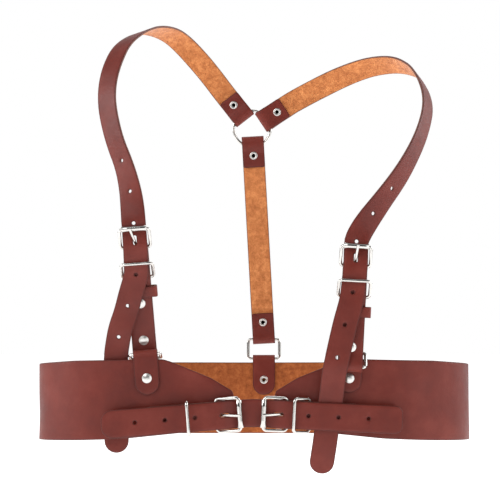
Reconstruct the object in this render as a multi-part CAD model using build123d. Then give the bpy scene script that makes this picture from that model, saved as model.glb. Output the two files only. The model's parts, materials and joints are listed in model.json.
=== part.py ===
"""Leather body harness, standing as worn: waist belt, roller buckles, shoulder and back straps.

Millimetres. X is the wearer's left-right, the front faces -Y, +Z is up.
The origin is the centre of the waist loop, at the belt's mid height.
Each piece is one node, written to parts/NODE.step.
"""
from build123d import *
from dataclasses import dataclass
import math
import os

# ---- leather ----
BELT_THICKNESS = 2.5
WIDE_STRAP = 25.0
WIDE_THICKNESS = 2.2
NARROW_STRAP = 22.0
NARROW_THICKNESS = 2.0
HOLE_RADIUS = 1.6
NARROW_HOLE_PITCH = 30.0
WIDE_HOLE_PITCH = 27.0
LAYER_GAP = 0.4           # air between a strap and the fold it passes over

# ---- waist loop, on the middle of the leather ----
HALF_WIDTH = 202.0
HALF_DEPTH = 65.3
END_RADIUS = 52.0
END_HALF_ANGLE = 50.0
BACK_HALF_HEIGHT = 35.0
SIDE_HALF_HEIGHT = 35.0

# ---- wire hardware ----
WIRE = 3.0
RING_WIRE = 2.9
O_RING_DIAMETER = 39.5
BAR_PLAY = 0.15           # radial play of a 3 mm bar in its leather fold
ROLLER_RADIUS = 2.5
ROLLER_BORE = 1.65
ROLLER_RISE = 4.0         # roller centre above the bar
PRONG_WIRE = 2.0
PRONG_EYE = 2.7           # radius of the eye's wire centre
PRONG_TIP_RISE = 4.45     # prong tip above the roller's centre
RING_REACH = 17.0         # bar to bar in rings and metal keepers
RING_SLACK = 0.95         # extra play of a ring in the strap fold that lets it rock
PRONG_SLOT = 5.0

# ---- rivets ----
CAP_RADIUS = 4.5
CAP_HEIGHT = 1.5
SHANK_RADIUS = 1.9
RIM_RADIUS = 4.0
RIM_HEIGHT = 0.9

# ---- places ----
BELT_FRONT = -HALF_DEPTH
BAR_DEPTH = -70.45        # y of the belt buckles' bars
FRONT_TAB_RIVET_Z = 25.0
BACK_TAB_RIVET_Z = 18.0
BACK_X = 10.0
O_RING_CENTRE = Vector(-1.7, 66.0, 268.5)
LEFT_RING_BARS = (Vector(-98.6, BELT_FRONT, 46.8), Vector(-99.6, -49.3, 42.0))
RIGHT_RING_BARS = (Vector(87.2, BELT_FRONT, 48.4), Vector(86.2, -76.2, 35.4))
BACK_RING_BARS = (Vector(BACK_X, HALF_DEPTH, 38.8), Vector(BACK_X, O_RING_CENTRE.Y, 57.9))
FRONT_RING_ACROSS = 27.6  # between the centres of a ring's two arms
BACK_RING_ACROSS = 31.0
TAB_PLAY = 1.7            # half the space between the two legs of a tab
LEFT_ANGLE = 128.0        # directions of the shoulder straps from the O-ring, in the xz plane
RIGHT_ANGLE = 33.5
FOLD_REACH = 39.0         # where a turned-back end stops, from the ring's centre
RIBBON_START = 45.0       # where a folded end hands over to the strap's own run
# folded ends, from the ring's centre: where the fold ends, where its layers meet, and its rivet
SHOULDER_FOLD = (11.45, 25.0, 30.0)
BACK_FOLD = (8.6, 22.6, 27.2)
RING_OUTSIDE = O_RING_DIAMETER / 2 + 0.2
BACK_RIVET = 17.0         # lower rivet of the back strap, from the back ring's bar
BELT_CHAPE_LENGTH = 64.0
BELT_CHAPE_RIVET_X = -57.0
BELT_CHAPE_RIVETS = (-6.0, 6.0)
LEATHER_KEEPER_X = -41.0
LEATHER_KEEPER_LENGTH = 10.0
LEATHER_KEEPER_SHIFT = -1.6
LEATHER_KEEPER_WALL = 1.6
LEATHER_KEEPER_INSIDE = (26.0, 4.9)
SKIM = 0.01               # gap between two leather layers that lie on each other


@dataclass
class Buckle:
    """A roller buckle with its metal keeper: bar at the seat's origin, roller along +x.

    strap_rivets are distances up the buckle strap from the ring that it hangs on.
    """
    seat: Plane
    strap: float
    thickness: float
    inner: float
    reach: float
    keeper_x: float
    keeper_tilt: float
    strap_rivets: tuple = ()

    def over_fold(self):
        """Height of the strap's middle where it passes over the chape's fold."""
        return WIRE / 2 + BAR_PLAY + self.thickness * 1.5 + LAYER_GAP

    def under_roller(self):
        """Height of the strap's middle where it passes behind the roller."""
        return ROLLER_RISE - ROLLER_RADIUS - 0.3 - self.thickness / 2

    def point(self, x, across, height):
        return self.seat.from_local_coords((x, across, height))


def upright_seat(bar, lower_end):
    """Seat of a shoulder buckle: x runs up the chape, z faces the front."""
    up = (bar - lower_end).normalized()
    front = Vector(0, -1, 0)
    outward = (front - up * front.dot(up)).normalized()
    return Plane(origin=bar, x_dir=up, z_dir=outward)


LEFT_SEAT = upright_seat(Vector(-107.0, -74.0, 143.0), LEFT_RING_BARS[1])
RIGHT_SEAT = upright_seat(Vector(91.0, -76.4, 126.0), RIGHT_RING_BARS[1])
LEFT_BELT_SEAT = Plane(origin=(-34.0, BAR_DEPTH, -8.5), x_dir=(1, 0, 0.080), z_dir=(0, -1, 0))
RIGHT_BELT_SEAT = Plane(origin=(29.5, BAR_DEPTH, -7.5), x_dir=(-1, 0, 0.047), z_dir=(0, -1, 0))

FRONT_RINGS = {"shoulder_left": LEFT_RING_BARS, "shoulder_right": RIGHT_RING_BARS}
NARROW = (NARROW_STRAP, NARROW_THICKNESS, 24.0, 18.0)
WIDE = (WIDE_STRAP, WIDE_THICKNESS, 26.4, 21.0)
BUCKLES = {
    "shoulder_left": Buckle(LEFT_SEAT, *NARROW, -27.5, 33.0, strap_rivets=(18.0, 52.7)),
    "shoulder_right": Buckle(RIGHT_SEAT, *NARROW, -27.5, 33.0, strap_rivets=(18.0, 39.2)),
    "belt_left": Buckle(LEFT_BELT_SEAT, *WIDE, -26.0, 88.0),
    "belt_right": Buckle(RIGHT_BELT_SEAT, *WIDE, -20.3, 34.0),
}
KEEPER_CLEARANCE = {NARROW_STRAP: 0.7, WIDE_STRAP: 0.25}  # a metal keeper over its frame, each side


# ---------------------------------------------------------------- shared shapes
def folded_strip(path, width, thickness):
    """Strip of leather from a path drawn in x and z, as wide as given along y."""
    return extrude(Plane.XZ * trace(path, thickness), width / 2, both=True)


def ribbon(stations, thickness):
    """Ruled strap through stations of (centre, outward normal, width)."""
    centres = [station[0] for station in stations]
    last = len(stations) - 1
    sections = []
    for i, (centre, normal, width) in enumerate(stations):
        along = (centres[min(i + 1, last)] - centres[max(i - 1, 0)]).normalized()
        outward = (normal - along * normal.dot(along)).normalized()
        section = Plane(origin=centre, x_dir=along.cross(outward), z_dir=along)
        sections.append(section * Rectangle(width, thickness))
    return loft(sections, ruled=True)


def with_round_tip(stations, steps=(30, 60, 78)):
    """Add narrowing stations beyond the last one, which round the free end."""
    centre, normal, width = stations[-1]
    along = (centre - stations[-2][0]).normalized()
    radius = width / 2
    tip = [
        (centre + along * radius * math.sin(math.radians(a)), normal, width * math.cos(math.radians(a)))
        for a in steps
    ]
    return stations + tip


def punched(strap, places, radius=HOLE_RADIUS):
    """Round holes through a strap at (point, direction) places."""
    for point, direction in places:
        strap -= Plane(origin=point, z_dir=direction) * Cylinder(radius, 12)
    return strap


def wire_loop(reach, across, wire, corner=2.2):
    """Rounded rectangle of wire in the xy plane: one bar at x = 0, the other at x = reach."""
    path = Pos(reach / 2, 0) * RectangleRounded(reach, across, corner)
    outline = path.wires()[0]
    pen = Plane(origin=outline @ 0, z_dir=outline % 0) * Circle(wire / 2)
    return sweep(pen, path=outline)


def rivet(grip):
    """Tubular rivet along z: domed cap on top of the grip, rolled rim with an open bore below."""
    ball = (CAP_RADIUS ** 2 + CAP_HEIGHT ** 2) / (2 * CAP_HEIGHT)
    dome = Pos(0, 0, CAP_HEIGHT - ball) * Sphere(ball)
    dome &= Pos(0, 0, CAP_HEIGHT / 2) * Box(4 * CAP_RADIUS, 4 * CAP_RADIUS, CAP_HEIGHT)
    shank = Pos(0, 0, -grip / 2) * Cylinder(SHANK_RADIUS, grip)
    rim = Pos(0, 0, -grip - RIM_HEIGHT / 2) * Cylinder(RIM_RADIUS, RIM_HEIGHT)
    rim = chamfer(rim.edges().sort_by(Axis.Z)[:1], 0.4)
    bore = Pos(0, 0, -grip) * Cylinder(1.4, 3)
    return dome + shank + rim - bore


# ---------------------------------------------------------------- belt
def waist_outline(offset):
    """Closed plan outline of the waist loop: two flat sides and three-arc ends."""
    tip_radius = END_RADIUS + offset
    lean = math.sin(math.radians(END_HALF_ANGLE))
    flank_radius = (HALF_DEPTH - END_RADIUS * lean) / (1 - lean) + offset
    tip_x = HALF_WIDTH - END_RADIUS
    shift = flank_radius - tip_radius
    flank_x = tip_x - shift * math.cos(math.radians(END_HALF_ANGLE))
    flank_y = -shift * lean
    flank_turn = 90 - END_HALF_ANGLE
    depth = HALF_DEPTH + offset
    edges = [Line((-flank_x, depth), (flank_x, depth)), Line((flank_x, -depth), (-flank_x, -depth))]
    for side, start in ((1, 0), (-1, 180)):
        edges.append(CenterArc((side * tip_x, 0), tip_radius, start - END_HALF_ANGLE, 2 * END_HALF_ANGLE))
        for half in (1, -1):
            first = start + side * half * END_HALF_ANGLE
            turn = side * half * flank_turn
            edges.append(CenterArc((side * flank_x, half * flank_y), flank_radius, first, turn))
    return make_face(edges)


def wing_outline(side):
    """Front half of the belt on one side, seen from the front: a wing that narrows to a point."""
    top = [(215, SIDE_HALF_HEIGHT), (163, 40.5), (82, 42.5), (39, 25.0), (20, 13.5)]
    bottom = [(17, 5.0), (34, -10.0), (52, -20.0), (62, -24.0), (116, -29.5), (163, -32.0)]
    bottom.append((215, -SIDE_HALF_HEIGHT))
    points = [(side * x, z) for x, z in top + bottom]
    return Plane.XZ * make_face(Polyline(*points, close=True))


def belt_body():
    half = BELT_THICKNESS / 2
    shell = extrude(waist_outline(half) - waist_outline(-half), 120)
    shell = Pos(0, 0, -60) * shell
    front = extrude(wing_outline(1), 100) + extrude(wing_outline(-1), 100)
    back = Pos(0, 50, 0) * Box(500, 100, 2 * BACK_HALF_HEIGHT)
    belt = shell & (front + back)
    return punched(belt, belt_holes(), SHANK_RADIUS)


def tab_rivet_point(key):
    """Middle of the rivet through a front tab: on the tab's leaning centre line."""
    bar = FRONT_RINGS[key][0]
    drop = bar.Z - FRONT_TAB_RIVET_Z
    lean = math.radians(strap_lean(BUCKLES[key]))
    return Vector(bar.X - drop * math.tan(lean), bar.Y, FRONT_TAB_RIVET_Z)


def belt_holes():
    """Rivet holes through the belt."""
    front = Vector(0, -1, 0)
    places = [(tab_rivet_point(key), front) for key in ("shoulder_left", "shoulder_right")]
    places.append((Vector(BACK_X, HALF_DEPTH, BACK_TAB_RIVET_Z), front))
    for key in ("belt_left", "belt_right"):
        places += [(BUCKLES[key].point(BELT_CHAPE_RIVET_X, y, -5), front) for y in BELT_CHAPE_RIVETS]
    return places


# ---------------------------------------------------------------- chapes
def chape_path(buckle, far_x, joined_height):
    """Folded strip round the buckle's bar, then side by side from the keeper's bar to far_x."""
    loop = WIRE / 2 + BAR_PLAY + buckle.thickness / 2
    pocket = buckle.keeper_x - WIRE / 2 - 0.4
    join = pocket - 3.6
    layer = buckle.thickness / 2 + SKIM
    outer = joined_height + layer
    inner = joined_height - layer
    upper = Polyline((far_x, outer), (join, outer), (pocket, loop), (0, loop))
    lower = Polyline((0, -loop), (pocket, -loop), (join, inner), (far_x, inner))
    return upper, CenterArc((0, 0), loop, 90, -180), lower


def prong_slot():
    """Cut through the fold that lets the prong's eye and shank swing."""
    return Pos(-1, 0, 0) * Box(18, PRONG_SLOT, 12)


def wing_face_height():
    """Height of the belt's outer face above a belt buckle's bar: it lies behind the bar."""
    return BELT_THICKNESS / 2 - BELT_FRONT + BAR_DEPTH


def belt_chape_middle():
    """Height of the join between a belt chape's two layers: the lower one runs straight."""
    return SKIM - WIRE / 2 - BAR_PLAY


def belt_chape(buckle):
    height = belt_chape_middle()
    chape = folded_strip(chape_path(buckle, -BELT_CHAPE_LENGTH, height), WIDE_STRAP, WIDE_THICKNESS)
    chape -= prong_slot()
    up = Vector(0, 0, 1)
    holes = [(Vector(BELT_CHAPE_RIVET_X, across, height), up) for across in BELT_CHAPE_RIVETS]
    chape = punched(chape, holes, SHANK_RADIUS)
    return buckle.seat.location * chape


def ring_fold_radius():
    return WIRE / 2 + RING_SLACK + NARROW_THICKNESS / 2


def buckle_strap(buckle, ring_bar):
    """Shoulder buckle's chape: a closed band from the buckle's bar to the belt ring's bar."""
    length = (buckle.seat.origin - ring_bar).length
    fold = ring_fold_radius()
    layer = NARROW_THICKNESS / 2 + SKIM
    upper, top_fold, lower = chape_path(buckle, -length + 12, 0)
    end = -length
    front = Polyline((-length + 12, layer), (end + 5, fold), (end, fold))
    back = Polyline((end, -fold), (end + 5, -fold), (-length + 12, -layer))
    bottom_fold = CenterArc((end, 0), fold, 90, 180)
    path = [upper, top_fold, lower, front, bottom_fold, back]
    strap = folded_strip(path, NARROW_STRAP, NARROW_THICKNESS) - prong_slot()
    up = Vector(0, 0, 1)
    holes = [(Vector(x, 0, 0), up) for x in buckle_strap_rivets(buckle, ring_bar)]
    return buckle.seat.location * punched(strap, holes, SHANK_RADIUS)


def buckle_strap_rivets(buckle, ring_bar):
    """Places of the two rivets along a buckle strap."""
    length = (buckle.seat.origin - ring_bar).length
    return [rise - length for rise in buckle.strap_rivets]


# ---------------------------------------------------------------- tabs and rings
def tab(bar, low_front, low_back, rivet_z, lean=0.0):
    """Tab over the belt's top edge, round a ring's bar: two legs, the front one rounded below."""
    half = TAB_PLAY + NARROW_THICKNESS / 2
    front = Line((-half, low_front - bar.Z), (-half, 0))
    fold = CenterArc((0, 0), half, 180, -180)
    back = Line((half, 0), (half, low_back - bar.Z))
    profile = Plane.YZ * trace([front, fold, back], NARROW_THICKNESS)
    body = extrude(profile, NARROW_STRAP / 2, both=True)
    reach = bar.Z - min(low_front, low_back)
    shape = Plane.XZ * (Pos(0, -reach / 2 + 10) * SlotOverall(reach + 20, NARROW_STRAP + 0.01, rotation=90))
    body &= extrude(shape, 20, both=True)
    hole_drop = (bar.Z - rivet_z) / math.cos(math.radians(lean))
    body = punched(body, [(Vector(0, 0, -hole_drop), Vector(0, -1, 0))], SHANK_RADIUS)
    return Pos(bar.X, bar.Y, bar.Z) * Rot(0, lean, 0) * body


def bar_direction(lean):
    """Direction of a ring's bars: across, and turned by the lean in the xz plane."""
    return Vector(math.cos(math.radians(lean)), 0, -math.sin(math.radians(lean)))


def rectangular_ring(bars, across, lean=0.0):
    """Ring through two folds, centred between them, with its bars at the two given places."""
    first, second = bars
    bar = bar_direction(lean)
    run = second - first
    reach = run - bar * run.dot(bar)
    origin = first + bar * (run.dot(bar) / 2)
    seat = Plane(origin=origin, x_dir=reach, z_dir=reach.cross(bar))
    return seat.location * wire_loop(reach.length, across, WIRE)


def strap_lean(buckle):
    """How far a shoulder buckle's strap leans from upright, seen from the front."""
    along = buckle.seat.x_dir
    return math.degrees(math.atan2(along.X, along.Z))


def o_ring():
    ring = Torus((O_RING_DIAMETER - RING_WIRE) / 2, RING_WIRE / 2)
    return Plane(origin=O_RING_CENTRE, z_dir=(0, 1, 0)) * ring


# ---------------------------------------------------------------- straps at the O-ring
def ring_seat(angle):
    """Seat at the O-ring's centre: x along the strap, z towards the front."""
    direction = Vector(math.cos(math.radians(angle)), 0, math.sin(math.radians(angle)))
    return Plane(origin=O_RING_CENTRE, x_dir=direction, z_dir=(0, -1, 0))


def ring_fold(angle, fold=SHOULDER_FOLD):
    """Strap end folded round the O-ring's wire: the turned-back layer lies on the front side."""
    inner_end, closed, rivet_x = fold
    thickness = NARROW_THICKNESS
    spread = RING_WIRE / 2 + 0.3 + thickness / 2
    layer = thickness / 2 + SKIM
    bight = inner_end + spread
    main = Polyline((RIBBON_START, -layer), (closed, -layer), (RING_OUTSIDE, -spread), (bight, -spread))
    fold = CenterArc((bight, 0), spread, 270, -180)
    turned = Polyline((bight, spread), (RING_OUTSIDE, spread), (closed, layer), (FOLD_REACH, layer))
    end = folded_strip([main, fold, turned], NARROW_STRAP, thickness)
    end = punched(end, [(Vector(rivet_x, 0, 0), Vector(0, 0, 1))], SHANK_RADIUS)
    return ring_seat(angle).location * end


def back_strap():
    """Straight strap from the O-ring down to the back ring, folded round both."""
    top = ring_seat(back_angle())
    length = (BACK_RING_BARS[1] - O_RING_CENTRE).length
    thickness = NARROW_THICKNESS
    fold = ring_fold_radius()
    layer = thickness / 2 + SKIM
    main = Polyline((RIBBON_START, -layer), (length - 12, -layer), (length - 5, -fold), (length, -fold))
    bottom_fold = CenterArc((length, 0), fold, 270, 180)
    turned = Polyline((length, fold), (length - 5, fold), (length - 12, layer), (length - 26, layer))
    lower = folded_strip([main, bottom_fold, turned], NARROW_STRAP, thickness)
    lower = punched(lower, [(Vector(length - BACK_RIVET, 0, 0), Vector(0, 0, 1))], SHANK_RADIUS)
    return ring_fold(back_angle(), BACK_FOLD) + top.location * lower


def back_angle():
    """Direction of the back strap from the O-ring's centre, in the xz plane."""
    run = BACK_RING_BARS[1] - O_RING_CENTRE
    return math.degrees(math.atan2(run.Z, run.X))


# ---------------------------------------------------------------- shoulder and closing straps
LEFT_SHOULDER = [
    (-41, 64, 319, 0, 1, 0.1), (-53, 57, 333, -0.1, 0.9, 0.35), (-70, 45, 350, -0.15, 0.7, 0.7),
    (-82, 28, 357, -0.2, 0.4, 0.9), (-98, 5, 357, -0.26, 0, 0.97), (-111, -15, 349, -0.35, -0.3, 0.88),
    (-124, -32, 335, -0.45, -0.55, 0.7), (-131, -45, 316, -0.5, -0.7, 0.5),
    (-135, -52, 298, -0.57, -0.72, 0.35), (-135.5, -58, 280, -0.64, -0.74, 0.17),
    (-133, -62, 263, -0.65, -0.75, 0.05),
    (-127, -66, 240, -0.65, -0.75, -0.1), (-118, -70, 218, -0.6, -0.8, -0.17),
    (-112.5, -73.5, 197, -0.4, -0.9, -0.17), (-110, -76.5, 180, -0.15, -0.97, -0.18),
]
RIGHT_SHOULDER = [
    (61, 64, 307, 0, 1, 0.1), (87, 56, 319, 0.05, 0.85, 0.45), (112, 46, 327, 0.15, 0.75, 0.65),
    (131, 34, 328, 0.3, 0.6, 0.75), (143, 22, 325, 0.45, 0.42, 0.8), (153, 8, 318, 0.6, 0.1, 0.8),
    (157, -1, 311, 0.75, -0.1, 0.65), (162, -14, 297, 0.85, -0.32, 0.45),
    (163.5, -26, 282, 0.88, -0.42, 0.25), (161, -36, 267, 0.87, -0.48, 0),
    (155, -46, 249, 0.85, -0.53, -0.1), (146, -55, 230, 0.78, -0.6, -0.2),
    (133, -63, 208, 0.68, -0.7, -0.2), (115, -71, 184, 0.55, -0.8, -0.2), (100, -75.5, 164, 0.25, -0.95, 0),
]
# strap through a buckle, in the buckle's seat: x, drift across, height as a share of the way
# from behind the roller (0) to over the fold (1)
THREADED = [
    (1.35, 0, 0.03), (1.0, 0, 0.0), (0.83, 0, 0.05), (0.66, 0, 0.25), (0.44, 0, 0.62), (0.22, 0, 0.92),
    (0, 0, 1.0),
]
# tails: in the buckle's seat (x, drift, height), then free in the harness frame (x, y, z)
LEFT_TAIL_SEATED = [(-14, 0.7, 5.3), (-23, 1.1, 5.4), (-31, 3.8, 5.5), (-41, 7.8, 5.6), (-58, 13.5, 5.6)]
LEFT_TAIL_FREE = [
    (-121.6, -63.8, 70), (-124.2, -60.6, 57), (-125.9, -59.6, 45), (-126.2, -59.4, 20), (-125.8, -59, -10),
    (-125, -58.5, -32),
]
RIGHT_TAIL_SEATED = [
    (-14, 0.8, 5.3), (-28, 1.6, 5.5), (-40, 4, 5.6), (-51, 6.7, 5.6), (-80, 11.8, 5.7), (-91, 13.5, 5.8),
]
RIGHT_TAIL_FREE = [
    (71, -79.5, 26), (70, -76.3, 15), (68.8, -73.7, 5), (66, -73.5, -12), (64.5, -73.4, -26),
    (62.5, -71.8, -40), (61, -69.5, -50),
]
CLOSING_TAIL_LEFT = [(-30, 0, 5.3), (-60, 0, 5.3), (-90, 0, 4.4), (-104, 0, 3.6)]
CLOSING_TAIL_RIGHT = [(-10, 0, 5.5), (-24, 0, 6.3), (-56, 0, 6.3), (-90, 0, 4.8), (-104, 0, 4.0)]


def threaded_stations(buckle):
    """The strap's way behind the roller and over the bar, as stations."""
    low = buckle.under_roller()
    high = buckle.over_fold()
    outward = buckle.seat.z_dir
    return [
        (buckle.point(share_x * buckle.reach, drift, low + share * (high - low)), outward, buckle.strap)
        for share_x, drift, share in THREADED
    ]


def seated_stations(buckle, points):
    return [(buckle.point(*p), buckle.seat.z_dir, buckle.strap) for p in points]


def free_stations(points, normal):
    return [(Vector(*p), normal, NARROW_STRAP) for p in points]


def hand_stations(points):
    return [(Vector(x, y, z), Vector(nx, ny, nz), NARROW_STRAP) for x, y, z, nx, ny, nz in points]


def working_hole(buckle):
    """Long hole that the prong passes through, stretched by use."""
    start = 1.0
    end = buckle.reach * 0.64
    slot = SlotOverall(end - start, 2 * HOLE_RADIUS)
    return buckle.seat.location * (Pos((start + end) / 2, 0, 4) * extrude(slot, 5, both=True))


def spaced_holes(stations, first, count, pitch):
    """Hole places along a row of stations, measured along it from the station at the fold."""
    places = []
    centres = [s[0] for s in stations]
    lengths = [0.0]
    for a, b in zip(centres, centres[1:]):
        lengths.append(lengths[-1] + (b - a).length)
    for i in range(count):
        distance = first + i * pitch
        k = max(j for j in range(len(lengths) - 1) if lengths[j] <= distance)
        share = (distance - lengths[k]) / (lengths[k + 1] - lengths[k])
        point = centres[k] + (centres[k + 1] - centres[k]) * share
        along = (centres[k + 1] - centres[k]).normalized()
        normal = stations[k][1] * (1 - share) + stations[k + 1][1] * share
        places.append((point, (normal - along * normal.dot(along)).normalized()))
    return places


def shoulder_strap(buckle, angle, hand_points, tail_seated, tail_free):
    seat = ring_seat(angle)
    layer = NARROW_THICKNESS / 2 + SKIM
    start = [
        (seat.from_local_coords((x, 0, -layer)), Vector(0, 1, 0), NARROW_STRAP)
        for x in (RIBBON_START - 4, RIBBON_START + 4)
    ]
    above = hand_stations(hand_points)
    through = threaded_stations(buckle)
    below = seated_stations(buckle, tail_seated) + free_stations(tail_free, Vector(0, -1, 0))
    stations = start + above + through + below
    strap = ribbon(with_round_tip(stations), NARROW_THICKNESS)
    strap = strap + ring_fold(angle)
    upward = [through[-1]] + list(reversed(above + through[:-1]))
    downward = [through[-1]] + below
    holes = spaced_holes(upward, NARROW_HOLE_PITCH - 7, 3, NARROW_HOLE_PITCH)
    holes += spaced_holes(downward, NARROW_HOLE_PITCH - 6, 3, NARROW_HOLE_PITCH)
    return punched(strap, holes) - working_hole(buckle)


def closing_strap():
    """Double-ended strap: threaded through both belt buckles, with a tail on each side."""
    left = BUCKLES["belt_left"]
    right = BUCKLES["belt_right"]
    left_tail = seated_stations(left, CLOSING_TAIL_LEFT)
    right_tail = seated_stations(right, CLOSING_TAIL_RIGHT)
    left_run = threaded_stations(left)
    right_run = threaded_stations(right)
    stations = list(reversed(left_tail)) + list(reversed(left_run)) + right_run + right_tail
    stations = [(centre, normal, WIDE_STRAP) for centre, normal, _ in stations]
    strap = ribbon(stations, WIDE_THICKNESS)
    strap -= end_corners(left_tail, 10.0)
    strap -= end_corners(right_tail, 7.0)
    holes = spaced_holes([left_run[-1]] + left_tail, WIDE_HOLE_PITCH - 8, 3, WIDE_HOLE_PITCH)
    holes += spaced_holes([right_run[-1]] + right_tail, WIDE_HOLE_PITCH - 8, 3, WIDE_HOLE_PITCH)
    return punched(strap, holes) - working_hole(left) - working_hole(right)


def end_corners(tail, radius):
    """What rounding takes off the two corners of a strap's free end."""
    end, normal, width = tail[-1]
    along = (end - tail[-2][0]).normalized()
    plane = Plane(origin=end, x_dir=along, z_dir=normal - along * normal.dot(along))
    corners = Pos(1 - radius / 2, 0) * Rectangle(radius + 2, width + 2)
    kept = Pos(-width, 0) * RectangleRounded(2 * width, width, radius)
    return plane.location * extrude(corners - kept, 8, both=True)


# ---------------------------------------------------------------- buckle hardware
def frame_tilt(buckle):
    return math.degrees(math.atan2(ROLLER_RISE, buckle.reach))


def buckle_frame(buckle):
    length = math.hypot(buckle.reach, ROLLER_RISE)
    loop = Rot(0, -frame_tilt(buckle), 0) * wire_loop(length, buckle.inner + WIRE, WIRE)
    return buckle.seat.location * loop


def roller(buckle):
    length = buckle.inner - 1.4
    tube = Rot(90, 0, 0) * (Cylinder(ROLLER_RADIUS, length) - Cylinder(ROLLER_BORE, length + 1))
    return buckle.seat.location * (Pos(buckle.reach, 0, ROLLER_RISE) * tube)


def prong(buckle):
    """Bent wire prong: an eye round the bar and a shank whose tip rests on the roller."""
    wire = PRONG_WIRE / 2
    eye = Rot(90, 0, 0) * Torus(PRONG_EYE, wire)
    lean = math.radians(19.4)
    root = Vector(PRONG_EYE * math.cos(lean), 0, PRONG_EYE * math.sin(lean))
    tip = Vector(buckle.reach + 0.6, 0, ROLLER_RISE + PRONG_TIP_RISE)
    run = tip - root
    shank = Plane(origin=root + run / 2, z_dir=run) * Cylinder(wire, run.length)
    end = Pos(tip.X, tip.Y, tip.Z) * Sphere(wire)
    return buckle.seat.location * (eye + shank + end)


def metal_keeper(buckle):
    across = buckle.inner + 2 * KEEPER_CLEARANCE[buckle.strap] + WIRE
    loop = Rot(0, -buckle.keeper_tilt, 0) * wire_loop(RING_REACH, across, WIRE)
    return buckle.seat.location * (Pos(buckle.keeper_x, 0, 0) * loop)


def leather_keeper(buckle):
    """Closed band of leather that slides along the buckle strap."""
    width, height = LEATHER_KEEPER_INSIDE
    wall = LEATHER_KEEPER_WALL
    inner = Rectangle(width, height)
    outer = RectangleRounded(width + 2 * wall, height + 2 * wall, 1.5)
    band = extrude(Plane.YZ * (outer - inner), LEATHER_KEEPER_LENGTH / 2, both=True)
    return buckle.seat.location * (Pos(LEATHER_KEEPER_X, LEATHER_KEEPER_SHIFT, 0) * band)


# ---------------------------------------------------------------- rivets in place
def rivets_at(places):
    """Rivets with their caps at the given (plane, grip): the plane lies on the outer leather face."""
    solids = [plane.location * rivet(grip) for plane, grip in places]
    return Compound(children=[Solid(s.solids()[0].wrapped) for s in solids])


def tab_rivet(middle, side):
    """Rivet through both legs of a tab and the belt: side is -1 for a cap at the front."""
    reach = TAB_PLAY + NARROW_THICKNESS
    outward = Vector(0, side, 0)
    return Plane(origin=middle + outward * reach, z_dir=outward), 2 * reach


def strap_rivets():
    """All rivets, grouped by where they sit."""
    two = 2 * (NARROW_THICKNESS + SKIM)
    half = two / 2
    ends = ((LEFT_ANGLE, SHOULDER_FOLD), (RIGHT_ANGLE, SHOULDER_FOLD), (back_angle(), BACK_FOLD))
    ring_outer = {
        angle: Plane(origin=ring_seat(angle).from_local_coords((fold[2], 0, -half)), z_dir=(0, 1, 0))
        for angle, fold in ends
    }
    length = (BACK_RING_BARS[1] - O_RING_CENTRE).length
    back_seat = ring_seat(back_angle())
    back_low = Plane(origin=back_seat.from_local_coords((length - BACK_RIVET, 0, -half)), z_dir=(0, 1, 0))
    chapes = []
    for key, bars in FRONT_RINGS.items():
        buckle = BUCKLES[key]
        for x in buckle_strap_rivets(buckle, bars[1]):
            chapes.append((Plane(origin=buckle.point(x, 0, half), z_dir=buckle.seat.z_dir), two))
    belts = []
    grip = belt_chape_middle() + WIDE_THICKNESS + SKIM - wing_face_height() + BELT_THICKNESS
    for key in ("belt_left", "belt_right"):
        buckle = BUCKLES[key]
        outer = belt_chape_middle() + WIDE_THICKNESS + SKIM
        for across in BELT_CHAPE_RIVETS:
            cap = buckle.point(BELT_CHAPE_RIVET_X, across, outer)
            belts.append((Plane(origin=cap, z_dir=(0, -1, 0)), grip))
    return {
        "shoulder_strap_rivets": [(ring_outer[LEFT_ANGLE], two), (ring_outer[RIGHT_ANGLE], two)],
        "back_strap_rivets": [(ring_outer[back_angle()], two), (back_low, two)],
        "back_tab_rivet": [tab_rivet(Vector(BACK_X, HALF_DEPTH, BACK_TAB_RIVET_Z), 1)],
        "front_tab_rivets": [tab_rivet(tab_rivet_point(key), -1) for key in FRONT_RINGS],
        "buckle_strap_rivets": chapes,
        "belt_chape_rivets": belts,
    }


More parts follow.
